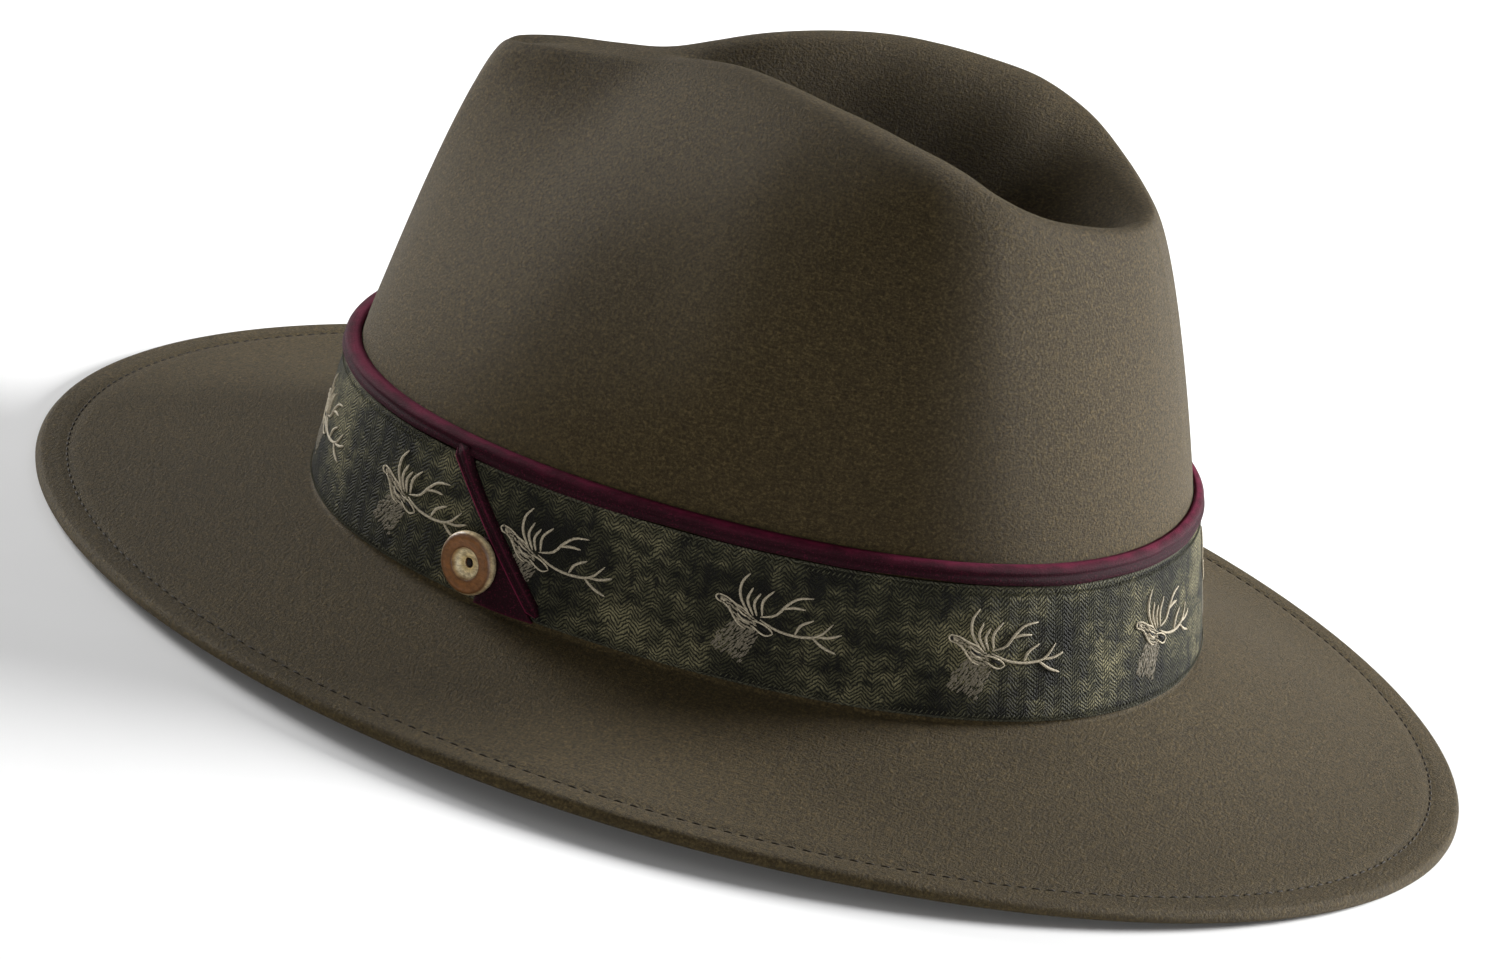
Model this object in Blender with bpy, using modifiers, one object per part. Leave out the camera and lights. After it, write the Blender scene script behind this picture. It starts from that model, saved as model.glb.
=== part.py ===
"""Felt hunting hat: a teardrop crown and a wide brim in one piece of felt, a woven ribbon
with velvet trim, and a horn button. Metres, +Z up. The front points along -Y and the
wearer's left along +X. The hat rests on the front and back of its brim, at z = 0."""

import math

import bpy
import numpy as np
from mathutils import Matrix, Vector

# Head oval, measured outside the felt where the crown meets the brim
HEAD_LENGTH = 0.2054
HEAD_WIDTH = 0.1682
HEAD_BACK_WIDENING = 0.028
HEAD_DIAGONAL_BULGE = 0.032

# Felt
FELT_THICKNESS = 0.0024
HEM_THICKNESS = 0.0034
HEM_WIDTH = 0.008
FELT_PRESS = 0.0004
BRIM_BREAK_RADIUS = 0.0012

# Ribbon, velvet and the gap that keeps the pieces apart
GAP = 0.0003
RIBBON_HEIGHT = 0.0300
RIBBON_THICKNESS = 0.0010
PIPING_HEIGHT = 0.0043
PIPING_THICKNESS = 0.0020

# Crown above the ribbon's lower edge
CROWN_HEIGHT = 0.1165
CROWN_LEAN = math.radians(3.1)
BAND_LENGTH_TAPER = 0.0118
BAND_WIDTH_TAPER = 0.0029
BAND_TOP_SHIFT = -0.0021
INSET_FRONT = 0.0018
INSET_SIDE = 0.0008
INSET_BACK = 0.0004

# Teardrop ridge and the dent inside it
RIDGE_LENGTH = 0.1505
RIDGE_WIDTH = 0.0888
RIDGE_SETBACK = 0.0245
DENT_DEPTH = 0.0270
SHOULDER_FRONT = 0.0060
SHOULDER_SIDE = 0.0170
SHOULDER_BACK = 0.0050
UPRIGHT_FRONT = 0.36
UPRIGHT_SIDE = 0.42
UPRIGHT_BACK = 0.22
PINCH_DEPTH = 0.0045
PINCH_RADIUS = 0.0270
# Middle of the pinch: shares of HEAD_WIDTH, HEAD_LENGTH and CROWN_HEIGHT
PINCH_PLACE = (0.40, -0.10, 0.62)
# Reach of the dent's arcs from the ridge and from the floor, as shares of the way between
DENT_SIDE_REACH = 0.35
DENT_FLOOR_REACH = 0.30

# Brim
BRIM_WIDTH = 0.0654
BRIM_SHIFT = 0.0015
BRIM_SIDE_RISE = 0.0037
BRIM_BACK_NARROWING = 0.028
BRIM_DIAGONAL_BULGE = -0.010
BRIM_FALL_POWER = 1.3
BASE_HEIGHT = 0.0165

# Horn button, and the velvet that turns down beside it
BUTTON_DIAMETER = 0.0144
BUTTON_THICKNESS = 0.0031
BUTTON_CUP_DIAMETER = 0.0072
BUTTON_CUP_DEPTH = 0.0014
BUTTON_HOLE_DIAMETER = 0.0020
BUTTON_ANGLE = math.radians(64.7)
BUTTON_HEIGHT = 0.0091
EDGE_WIDTH = 0.0032
EDGE_THICKNESS = 0.0019
EDGE_TOP_AHEAD = 0.0080
EDGE_FOOT_BEHIND = 0.0187
TAB_THICKNESS = 0.0012
TAB_SIDE_BEHIND = 0.0017
TAB_BLUNT_PEAK = 0.94
ROLL_FULLNESS = 0.6

# The button's face: shares of the cup's radius, and of its depth down from the top
BUTTON_FACE = ((0.62, 1.00), (0.92, 0.35), (1.00, 0.05), (1.12, 0.00))
# The button's rounded rim: inset and height, as shares of BUTTON_THICKNESS
BUTTON_RIM = ((0.30, 1.00), (0.08, 0.88), (0.00, 0.62), (0.12, 0.20), (0.40, 0.00))

# How finely the surfaces are divided
COLUMNS = 40
HEM_ROWS = 3
BRIM_ROWS = 4
WALL_ROWS = 9
DENT_ROWS = 6
BUTTON_SIDES = 24
ROLL_POINTS = 6
THREAD_SIDES = 10
EDGE_STEPS = 11
TAB_ROWS = 7
TAB_COLUMNS = 5

# The ridge and the dent's floor, from the front of the hat to its back.
# around: degrees round the head oval from the front
# along, floor_along: shares of RIDGE_LENGTH from the ridge's front end
# half_width: share of half RIDGE_WIDTH
# height: share of CROWN_HEIGHT
# depth: share of DENT_DEPTH, down from the ridge
RIDGE_COLUMNS = ("around", "along", "half_width", "height", "floor_along", "depth")
RIDGE_TABLE = (
    (0, 0.000, 0.00, 0.882, 0.030, 0.00),
    (9, 0.012, 0.08, 0.887, 0.042, 0.00),
    (20, 0.070, 0.12, 0.901, 0.086, 0.00),
    (32, 0.155, 0.13, 0.914, 0.157, 0.00),
    (44, 0.232, 0.14, 0.930, 0.227, 0.00),
    (54, 0.298, 0.20, 0.957, 0.293, 0.11),
    (64, 0.371, 0.36, 0.982, 0.360, 0.36),
    (74, 0.450, 0.57, 0.994, 0.430, 0.63),
    (84, 0.523, 0.75, 0.996, 0.503, 0.83),
    (95, 0.596, 0.86, 0.991, 0.576, 0.96),
    (106, 0.669, 0.95, 0.979, 0.642, 1.00),
    (118, 0.748, 1.00, 0.961, 0.709, 0.96),
    (130, 0.821, 0.96, 0.927, 0.768, 0.85),
    (143, 0.894, 0.76, 0.886, 0.821, 0.67),
    (156, 0.957, 0.45, 0.860, 0.861, 0.52),
    (168, 0.989, 0.22, 0.850, 0.887, 0.44),
    (180, 1.000, 0.00, 0.846, 0.897, 0.41),
)

BAND_HEIGHT = RIBBON_HEIGHT + GAP + PIPING_HEIGHT
RIBBON_FACE = GAP + RIBBON_THICKNESS


def clear_scene():
    for obj in list(bpy.data.objects):
        bpy.data.objects.remove(obj, do_unlink=True)


def smooth_through(places, values, wanted):
    """Reads a smooth curve through the rows of a table: cubic pieces whose slope at each
    row is that of its two neighbours."""
    places = np.asarray(places, float)
    values = np.asarray(values, float)
    slopes = np.gradient(values, places)
    part = np.clip(np.searchsorted(places, wanted, side="right") - 1, 0, len(places) - 2)
    step = places[part + 1] - places[part]
    t = (wanted - places[part]) / step
    start = (1 + 2 * t) * (1 - t) ** 2 * values[part] + t * (1 - t) ** 2 * step * slopes[part]
    end = t**2 * (3 - 2 * t) * values[part + 1] - t**2 * (1 - t) * step * slopes[part + 1]
    return start + end


def ridge_column(name, angles):
    """One column of the ridge table, as a share, at the given angles round the head."""
    rows = np.array(RIDGE_TABLE, float)
    places = rows[:, 0]
    values = rows[:, RIDGE_COLUMNS.index(name)]
    return smooth_through(places, values, np.degrees(angles))


def oval(angles, half_length, half_width, back_widening, bulge):
    """Egg-shaped oval from the front (angle 0) round the wearer's left side to the back."""
    swell = 1 + bulge * (1 - np.cos(4 * angles)) / 2
    x = half_width * (1 - back_widening * np.cos(angles)) * np.sin(angles) * swell
    y = -half_length * np.cos(angles) * swell
    return x, y


def band_point(angles, height, stand_off):
    """Point on the foot of the crown, a slightly tapered oval, moved outwards by stand_off."""
    angles, height, stand_off = np.broadcast_arrays(
        np.asarray(angles, float), np.asarray(height, float), np.asarray(stand_off, float)
    )
    share = height / BAND_HEIGHT
    half_length = (HEAD_LENGTH - BAND_LENGTH_TAPER * share) / 2
    half_width = (HEAD_WIDTH - BAND_WIDTH_TAPER * share) / 2
    x, y = oval(angles, half_length, half_width, HEAD_BACK_WIDENING, HEAD_DIAGONAL_BULGE)
    out = np.stack([x / half_width**2, y / half_length**2], -1)
    out /= np.linalg.norm(out, axis=-1, keepdims=True)
    y = y + BAND_TOP_SHIFT * share
    return np.stack([x + out[..., 0] * stand_off, y + out[..., 1] * stand_off, height], -1)


def rest_matrix():
    """Turns the crown's own frame, whose base plane is level, to the way the hat rests."""
    return Matrix.Translation((0, 0, BASE_HEIGHT)) @ Matrix.Rotation(CROWN_LEAN, 4, "X")


def half_angles():
    return np.linspace(0, math.pi, COLUMNS + 1)


def full_angles():
    return np.linspace(0, 2 * math.pi, 2 * COLUMNS, endpoint=False)


def brim_rows():
    """Rows of the brim's upper face from its edge in to the crown's foot. The height runs
    from the resting edge up to the crown, steepest beside the crown."""
    angles = half_angles()
    break_out = BRIM_BREAK_RADIUS
    foot = band_point(angles, 0, break_out)
    foot[:, 2] = -GAP - break_out
    x, y = oval(
        angles,
        HEAD_LENGTH / 2 + BRIM_WIDTH,
        HEAD_WIDTH / 2 + BRIM_WIDTH,
        -BRIM_BACK_NARROWING,
        BRIM_DIAGONAL_BULGE,
    )
    y = y + BRIM_SHIFT
    rest = HEM_THICKNESS - FELT_PRESS + BRIM_SIDE_RISE * np.sin(angles) ** 2
    z = (rest - BASE_HEIGHT - y * math.sin(CROWN_LEAN)) / math.cos(CROWN_LEAN)
    edge = np.stack([x, y, z], -1)
    hem = HEM_WIDTH / BRIM_WIDTH
    shares = list(np.linspace(1, 1 - hem, HEM_ROWS))
    shares += list(np.linspace(1 - hem, 0, BRIM_ROWS + 2)[1:-1])
    rows = []
    for share in shares:
        row = foot + (edge - foot) * share
        row[:, 2] = foot[:, 2] + (edge[:, 2] - foot[:, 2]) * (1 - (1 - share) ** BRIM_FALL_POWER)
        rows.append(row)
    return rows + [foot]


def round_the_hat(angles, front, side, back):
    """Runs smoothly from the front's value through the side's to the back's."""
    ends = np.where(angles < math.pi / 2, front, back)
    return (ends + (side - ends) * np.sin(angles) ** 2)[:, None]


def bezier(p0, p1, p2, p3, t):
    return (1 - t) ** 3 * p0 + 3 * t * (1 - t) ** 2 * p1 + 3 * t**2 * (1 - t) * p2 + t**3 * p3


def ridge_line(angles):
    """The crest of the ridge, from the front of the nose to the back."""
    x = ridge_column("half_width", angles) * RIDGE_WIDTH / 2
    y = ridge_column("along", angles) * RIDGE_LENGTH + RIDGE_SETBACK - HEAD_LENGTH / 2
    z = ridge_column("height", angles) * CROWN_HEIGHT
    x[0] = x[-1] = 0
    return np.stack([x, y, z], -1)


def dent_floor(angles):
    """The line along the middle of the dent, on the hat's plane of symmetry."""
    y = ridge_column("floor_along", angles) * RIDGE_LENGTH + RIDGE_SETBACK - HEAD_LENGTH / 2
    z = ridge_column("height", angles) * CROWN_HEIGHT - ridge_column("depth", angles) * DENT_DEPTH
    return np.stack([0 * y, y, z], -1)


def pinch(points):
    """Presses the shallow finger dent into the front of each side wall."""
    middle = np.array([HEAD_WIDTH, HEAD_LENGTH, CROWN_HEIGHT]) * PINCH_PLACE
    near = np.exp(-(((points - middle) / PINCH_RADIUS) ** 2).sum(-1))
    points[..., 0] -= PINCH_DEPTH * near
    return points


def crown_rows():
    """Rows of the crown from its foot over the ridge to the middle of the dent. Each
    column is two Bezier arcs that share a level tangent on the ridge."""
    angles = half_angles()
    inset = round_the_hat(angles, INSET_FRONT, INSET_SIDE, INSET_BACK)[:, 0]
    wall_top = band_point(angles, BAND_HEIGHT, -inset)
    ridge = ridge_line(angles)
    floor = dent_floor(angles)
    run = np.gradient(ridge[:, :2], axis=0)
    run[0] = run[-1] = 0
    run[0, 0] = 1
    run[-1, 0] = -1
    out = np.stack([run[:, 1], -run[:, 0], 0 * run[:, 0]], -1)
    out /= np.linalg.norm(out, axis=1, keepdims=True)
    rise = ridge[:, 2:] - wall_top[:, 2:]
    lean = (wall_top - band_point(angles, 0, 0)) / BAND_HEIGHT
    swing = round_the_hat(angles, SHOULDER_FRONT, SHOULDER_SIDE, SHOULDER_BACK)
    upright = round_the_hat(angles, UPRIGHT_FRONT, UPRIGHT_SIDE, UPRIGHT_BACK)
    wall_arc = (wall_top, wall_top + lean * rise * upright, ridge + out * swing, ridge)
    reach = np.linalg.norm(ridge - floor, axis=1, keepdims=True)
    side = ridge - out * reach * DENT_SIDE_REACH
    dent_arc = (ridge, side, floor + out * reach * DENT_FLOOR_REACH, floor)
    rows = []
    for step in range(1, WALL_ROWS + 1):
        t = math.sin(step / WALL_ROWS * math.pi / 2)
        rows.append(pinch(bezier(*wall_arc, t)))
    for step in range(1, DENT_ROWS + 1):
        t = step / DENT_ROWS
        rows.append(bezier(*dent_arc, t))
    for row in rows:
        row[[0, -1], 0] = 0
    rows[-1][:, 0] = 0
    return [band_point(angles, -GAP, 0), wall_top] + rows


def grid_faces(rows, columns, wrap_rows=False, wrap_columns=False):
    """Quads of a grid of points, with the rows or the columns closed on themselves."""
    faces = []
    for i in range(rows if wrap_rows else rows - 1):
        for j in range(columns if wrap_columns else columns - 1):
            a, b = i * columns + j, i * columns + (j + 1) % columns
            c, d = ((i + 1) % rows) * columns + (j + 1) % columns, ((i + 1) % rows) * columns + j
            faces.append((a, b, c, d))
    return faces


def new_object(name, points, faces, collection, parent):
    mesh = bpy.data.meshes.new(name)
    mesh.from_pydata([tuple(p) for p in np.reshape(points, (-1, 3))], [], faces)
    mesh.validate()
    mesh.shade_smooth()
    obj = bpy.data.objects.new(name, mesh)
    collection.objects.link(obj)
    obj.parent = parent
    return obj


def paint(obj, name, color, roughness, sheen=0.0):
    """A plain finish of one colour for one sub-part."""
    material = bpy.data.materials.new(name)
    material.use_nodes = True
    shader = material.node_tree.nodes["Principled BSDF"]
    shader.inputs["Base Color"].default_value = (*color, 1)
    shader.inputs["Roughness"].default_value = roughness
    shader.inputs["Metallic"].default_value = 0
    shader.inputs["Sheen Weight"].default_value = sheen
    obj.data.materials.append(material)


def settle(obj):
    """Bakes the modifiers in and presses the felt flat where it lies on its brim."""
    bpy.context.view_layer.update()
    graph = bpy.context.evaluated_depsgraph_get()
    mesh = bpy.data.meshes.new_from_object(obj.evaluated_get(graph))
    points = np.empty(len(mesh.vertices) * 3)
    mesh.vertices.foreach_get("co", points)
    points = points.reshape(-1, 3)
    turn = np.array(rest_matrix())
    world = points @ turn[:3, :3].T + turn[:3, 3]
    world[:, 2] = np.maximum(world[:, 2], 0)
    points = (world - turn[:3, 3]) @ turn[:3, :3]
    mesh.vertices.foreach_set("co", points.ravel())
    mesh.update()
    obj.modifiers.clear()
    obj.data = mesh


def felt_body(collection, parent):
    """Crown and brim in one: half the outer face is lofted, mirrored and given its wall."""
    rows = brim_rows() + crown_rows()
    faces = grid_faces(len(rows), COLUMNS + 1)
    obj = new_object("felt_body", rows, faces, collection, parent)
    hem = obj.vertex_groups.new(name="hem")
    hem_end = HEM_ROWS * (COLUMNS + 1)
    hem.add(list(range(hem_end)), 1.0, "REPLACE")
    wall_points = list(range(hem_end, len(rows) * (COLUMNS + 1)))
    hem.add(wall_points, FELT_THICKNESS / HEM_THICKNESS, "REPLACE")
    mirror = obj.modifiers.new("other_half", "MIRROR")
    mirror.merge_threshold = 0.0001
    wall = obj.modifiers.new("felt", "SOLIDIFY")
    wall.thickness = HEM_THICKNESS
    wall.offset = -1
    wall.use_even_offset = True
    wall.vertex_group = "hem"
    settle(obj)
    paint(obj, "olive_felt", (0.048, 0.036, 0.021), 0.95, 0.3)
    return obj


def ring(name, section, collection, parent):
    """Carries a closed section of (stand_off, height) points once round the crown."""
    angles = full_angles()
    rows = [band_point(angles, height, stand_off) for stand_off, height in section]
    faces = grid_faces(len(rows), len(angles), wrap_rows=True, wrap_columns=True)
    return new_object(name, rows, faces, collection, parent)


def ribbon_band(collection, parent):
    section = ((GAP, 0), (RIBBON_FACE, 0), (RIBBON_FACE, RIBBON_HEIGHT), (GAP, RIBBON_HEIGHT))
    obj = ring("ribbon_band", section, collection, parent)
    paint(obj, "woven_ribbon", (0.032, 0.033, 0.025), 0.8)
    return obj


def half_round(width, thickness):
    """Section of a soft roll with a flat back: pairs of (out, across)."""
    turn = np.linspace(-math.pi / 2, math.pi / 2, ROLL_POINTS)
    swell = np.maximum(np.cos(turn), 0) ** ROLL_FULLNESS
    return list(zip(thickness * swell, width / 2 * np.sin(turn)))


def velvet_piping(collection, parent):
    middle = RIBBON_HEIGHT + GAP + PIPING_HEIGHT / 2
    roll = half_round(PIPING_HEIGHT, PIPING_THICKNESS)
    section = [(GAP + out, middle + across) for out, across in roll]
    obj = ring("velvet_piping", section, collection, parent)
    paint(obj, "bordeaux_velvet", (0.045, 0.004, 0.012), 0.6, 0.8)
    return obj


def angle_at(behind):
    """Angle of a point that lies this far behind the button, measured along the ribbon."""
    turn = math.radians(3)
    ahead = band_point(BUTTON_ANGLE - turn, 0, RIBBON_FACE)
    after = band_point(BUTTON_ANGLE + turn, 0, RIBBON_FACE)
    return BUTTON_ANGLE + np.asarray(behind) * 2 * turn / np.linalg.norm(after - ahead)


def edge_ends():
    """Ends of the turned-down velvet's middle line: (behind the button, height)."""
    top = np.array([-EDGE_TOP_AHEAD, RIBBON_HEIGHT - EDGE_WIDTH / 2])
    foot = np.array([EDGE_FOOT_BEHIND - EDGE_WIDTH / 2, EDGE_WIDTH / 2])
    return top, foot


def velvet_edge(collection, parent):
    """The velvet roll that runs down across the ribbon, from the piping to its lower edge."""
    top, foot = edge_ends()
    across = np.array([foot[1] - top[1], top[0] - foot[0]])
    across /= np.linalg.norm(across)
    section = half_round(EDGE_WIDTH, EDGE_THICKNESS)
    rows = []
    for t in np.linspace(0, 1, EDGE_STEPS):
        middle = top + (foot - top) * t
        flat = np.array([middle + across * side for out, side in section])
        out = np.array([RIBBON_FACE + GAP + out for out, side in section])
        rows.append(band_point(angle_at(flat[:, 0]), flat[:, 1], out))
    count = len(section)
    faces = grid_faces(len(rows), count, wrap_columns=True)
    faces += [tuple(range(count))[::-1], tuple(range((len(rows) - 1) * count, len(rows) * count))]
    obj = new_object("velvet_edge", rows, faces, collection, parent)
    paint(obj, "edge_velvet", (0.045, 0.004, 0.012), 0.6, 0.8)
    return obj


def velvet_tab(collection, parent):
    """The velvet triangle between the turned-down roll and the ribbon's lower edge."""
    top, foot = edge_ends()
    clear = (EDGE_WIDTH / 2 + GAP) * math.hypot(*(foot - top)) / (top[1] - foot[1])
    slope = (foot[0] - top[0]) / (top[1] - foot[1])
    peak = top[1] - (TAB_SIDE_BEHIND + clear - top[0]) / slope
    rows = []
    for height in np.linspace(0, peak * TAB_BLUNT_PEAK, TAB_ROWS):
        far_side = top[0] + (top[1] - height) * slope - clear
        behind = np.linspace(TAB_SIDE_BEHIND, far_side, TAB_COLUMNS)
        rows.append(band_point(angle_at(behind), height, RIBBON_FACE + GAP))
    obj = new_object("velvet_tab", rows, grid_faces(TAB_ROWS, TAB_COLUMNS), collection, parent)
    wall = obj.modifiers.new("velvet", "SOLIDIFY")
    wall.thickness = TAB_THICKNESS
    wall.offset = 1
    paint(obj, "tab_velvet", (0.03, 0.003, 0.008), 0.7, 0.8)
    return obj


def button_seat(collection, parent):
    """An empty where the button is sewn on: its Z points straight out of the ribbon."""
    seat = bpy.data.objects.new("button_seat", None)
    collection.objects.link(seat)
    face = RIBBON_FACE + GAP + TAB_THICKNESS + GAP
    place = Vector(band_point(BUTTON_ANGLE, BUTTON_HEIGHT, face))
    out = place - Vector(band_point(BUTTON_ANGLE, BUTTON_HEIGHT, 0))
    seat.parent = parent
    seat.matrix_local = Matrix.Translation(place) @ out.to_track_quat("Z", "Y").to_matrix().to_4x4()
    return seat


def turned(name, profile, collection, parent):
    """A profile of (radius, height) points, outer side top to bottom, turned round Z."""
    points = [(radius, 0, height) for radius, height in profile]
    mesh = bpy.data.meshes.new(name)
    count = len(points)
    mesh.from_pydata(points, [(i, (i + 1) % count) for i in range(count)], [])
    obj = bpy.data.objects.new(name, mesh)
    collection.objects.link(obj)
    obj.parent = parent
    screw = obj.modifiers.new("turn", "SCREW")
    screw.steps = BUTTON_SIDES
    screw.render_steps = BUTTON_SIDES
    screw.use_merge_vertices = True
    screw.merge_threshold = 0.00001
    screw.use_smooth_shade = True
    return obj


def button(collection, parent):
    """A horn disc with rounded edges, a cup in its face and one hole through it."""
    outer = BUTTON_DIAMETER / 2
    cup = BUTTON_CUP_DIAMETER / 2
    hole = BUTTON_HOLE_DIAMETER / 2
    top = BUTTON_THICKNESS
    profile = [(hole, top - BUTTON_CUP_DEPTH)]
    profile += [(cup * share, top - BUTTON_CUP_DEPTH * depth) for share, depth in BUTTON_FACE]
    profile += [(outer - top * inset, top * height) for inset, height in BUTTON_RIM]
    profile += [(hole, 0)]
    obj = turned("button", profile, collection, parent)
    paint(obj, "horn", (0.30, 0.16, 0.08), 0.35)
    return obj


def button_thread(collection, parent):
    """The sewing thread that fills the button's hole and reaches down to the ribbon."""
    length = BUTTON_THICKNESS - BUTTON_CUP_DEPTH + TAB_THICKNESS
    bpy.ops.mesh.primitive_cylinder_add(
        vertices=THREAD_SIDES, radius=BUTTON_HOLE_DIAMETER / 2 - GAP, depth=length
    )
    obj = bpy.context.active_object
    obj.name = "button_thread"
    for other in obj.users_collection:
        other.objects.unlink(obj)
    collection.objects.link(obj)
    obj.parent = parent
    obj.location = (0, 0, length / 2 - TAB_THICKNESS)
    obj.data.shade_smooth()
    obj.data.set_sharp_from_angle(angle=math.radians(40))
    paint(obj, "sewing_thread", (0.02, 0.012, 0.008), 0.9)
    return obj


def centre_on_origin(crown_base, felt):
    """Slides the hat along Y until the middle of its brim stands over the origin."""
    turn = np.array(rest_matrix())
    points = np.empty(len(felt.data.vertices) * 3)
    felt.data.vertices.foreach_get("co", points)
    along = (points.reshape(-1, 3) @ turn[:3, :3].T)[:, 1]
    crown_base.location.y = -(along.min() + along.max()) / 2


def main():
    clear_scene()
    collection = bpy.data.collections.new("hunting_hat")
    bpy.context.scene.collection.children.link(collection)
    crown_base = bpy.data.objects.new("crown_base", None)
    collection.objects.link(crown_base)
    crown_base.matrix_world = rest_matrix()
    felt = felt_body(collection, crown_base)
    centre_on_origin(crown_base, felt)
    ribbon_band(collection, crown_base)
    velvet_piping(collection, crown_base)
    velvet_edge(collection, crown_base)
    velvet_tab(collection, crown_base)
    seat = button_seat(collection, crown_base)
    button(collection, seat)
    button_thread(collection, seat)


main()
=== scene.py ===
"""Hunting hat: the finished felt, ribbon, velvet and horn round the fixed frame."""

import functools
import math

import bmesh
import bpy
import numpy as np
from mathutils import Matrix, Vector


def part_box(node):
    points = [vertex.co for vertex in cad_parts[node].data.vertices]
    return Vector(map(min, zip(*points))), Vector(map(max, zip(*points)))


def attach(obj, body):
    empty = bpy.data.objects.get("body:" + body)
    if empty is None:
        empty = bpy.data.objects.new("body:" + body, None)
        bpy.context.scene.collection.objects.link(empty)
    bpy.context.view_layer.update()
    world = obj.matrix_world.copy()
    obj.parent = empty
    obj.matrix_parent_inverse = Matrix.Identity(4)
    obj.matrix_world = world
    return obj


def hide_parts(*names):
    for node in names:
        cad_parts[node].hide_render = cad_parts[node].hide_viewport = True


bl_info = {
    "name": "Hunting Hat",
    "version": (1, 0, 0),
    "blender": (4, 5, 0),
    "location": "View3D > Sidebar > Hat",
    "description": "Makes a felt hunting hat with its ribbon, velvet, button and studio",
    "category": "Add Mesh",
}

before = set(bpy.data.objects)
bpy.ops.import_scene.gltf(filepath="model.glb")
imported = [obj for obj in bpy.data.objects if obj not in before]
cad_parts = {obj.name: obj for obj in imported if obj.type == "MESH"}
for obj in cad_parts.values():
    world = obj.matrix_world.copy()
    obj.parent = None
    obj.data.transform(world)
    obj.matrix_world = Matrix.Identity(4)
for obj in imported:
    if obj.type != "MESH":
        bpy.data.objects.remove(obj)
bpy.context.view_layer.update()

# Head oval, felt and ribbon, in metres, as in the solids
HEAD_LENGTH = 0.2054
HEAD_WIDTH = 0.1682
HEAD_BACK_WIDENING = 0.028
HEAD_DIAGONAL_BULGE = 0.032
FELT_THICKNESS = 0.0024
HEM_THICKNESS = 0.0034
HEM_WIDTH = 0.008
# Where the hem's thickness runs out into the felt's, in widths of the hem from the edge
HEM_BLEND_START = 0.7
HEM_BLEND_LENGTH = 0.6
FELT_PRESS = 0.0004
BRIM_BREAK_RADIUS = 0.0012
GAP = 0.0003
RIBBON_HEIGHT = 0.0300
RIBBON_THICKNESS = 0.0010
PIPING_HEIGHT = 0.0043
PIPING_THICKNESS = 0.0020
BAND_HEIGHT = RIBBON_HEIGHT + GAP + PIPING_HEIGHT
RIBBON_FACE = GAP + RIBBON_THICKNESS

# Crown, ridge and dent
CROWN_HEIGHT = 0.1165
CROWN_LEAN = math.radians(3.1)
BAND_LENGTH_TAPER = 0.0118
BAND_WIDTH_TAPER = 0.0029
BAND_TOP_SHIFT = -0.0021
INSET_FRONT = 0.0018
INSET_SIDE = 0.0008
INSET_BACK = 0.0004
RIDGE_LENGTH = 0.1505
RIDGE_WIDTH = 0.0888
RIDGE_SETBACK = 0.0245
DENT_DEPTH = 0.0270
SHOULDER_FRONT = 0.0060
SHOULDER_SIDE = 0.0170
SHOULDER_BACK = 0.0050
UPRIGHT_FRONT = 0.36
UPRIGHT_SIDE = 0.42
UPRIGHT_BACK = 0.22
PINCH_DEPTH = 0.0045
PINCH_RADIUS = 0.0270
# Middle of the pinch: shares of HEAD_WIDTH, HEAD_LENGTH and CROWN_HEIGHT
PINCH_PLACE = (0.40, -0.10, 0.62)
# Reach of the dent's arcs from the ridge and from the floor, as shares of the way between
DENT_SIDE_REACH = 0.35
DENT_FLOOR_REACH = 0.30

# Brim
BRIM_WIDTH = 0.0654
BRIM_SHIFT = 0.0015
BRIM_SIDE_RISE = 0.0037
BRIM_BACK_NARROWING = 0.028
BRIM_DIAGONAL_BULGE = -0.010
BRIM_FALL_POWER = 1.3
BASE_HEIGHT = 0.0165

# Button, turned-down velvet and tab
BUTTON_DIAMETER = 0.0144
BUTTON_THICKNESS = 0.0031
BUTTON_CUP_DIAMETER = 0.0072
BUTTON_CUP_DEPTH = 0.0014
BUTTON_HOLE_DIAMETER = 0.0020
BUTTON_ANGLE = math.radians(64.7)
BUTTON_HEIGHT = 0.0091
EDGE_WIDTH = 0.0032
EDGE_THICKNESS = 0.0019
EDGE_TOP_AHEAD = 0.0080
EDGE_FOOT_BEHIND = 0.0187
TAB_THICKNESS = 0.0012
TAB_SIDE_BEHIND = 0.0017
TAB_BLUNT_PEAK = 0.96
TAB_SWELL = 0.0004

# The button's face: shares of the cup's radius, and of its depth down from the top
BUTTON_FACE = ((0.60, 1.000), (0.90, 0.643), (1.02, 0.071), (1.14, 0.000), (1.50, 0.057))
# The button's rounded rim: inset and height, as shares of BUTTON_THICKNESS
BUTTON_RIM = ((0.28, 0.99), (0.08, 0.86), (0.00, 0.60), (0.12, 0.22), (0.40, 0.00))
# The hole is drawn a little wider than in the solid, so that its thread shows
BUTTON_HOLE_WIDENING = 1.2

# Velvet roll: fullness of its bow, then its valley's depth, place and reach, the last
# two as shares of half its width
ROLL_FULLNESS = 0.6
VALLEY_DEPTH = 0.30
VALLEY_PLACE = 0.10
VALLEY_REACH = 0.22
# Waves of the piping's lower edge: their height, and (count round the hat, phase, share)
PIPING_WAVE = 0.00045
PIPING_WAVES = ((5, 1.1, 0.35), (11, 0.0, 0.30), (23, 0.4, 0.20))
# Share of the piping's thickness over which its back follows the felt inward
PIPING_LEAN_REACH = 0.8
# Strongest painted highlight on the piping's upper edge, of 1
PIPING_BRIGHTEST = 0.95
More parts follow.
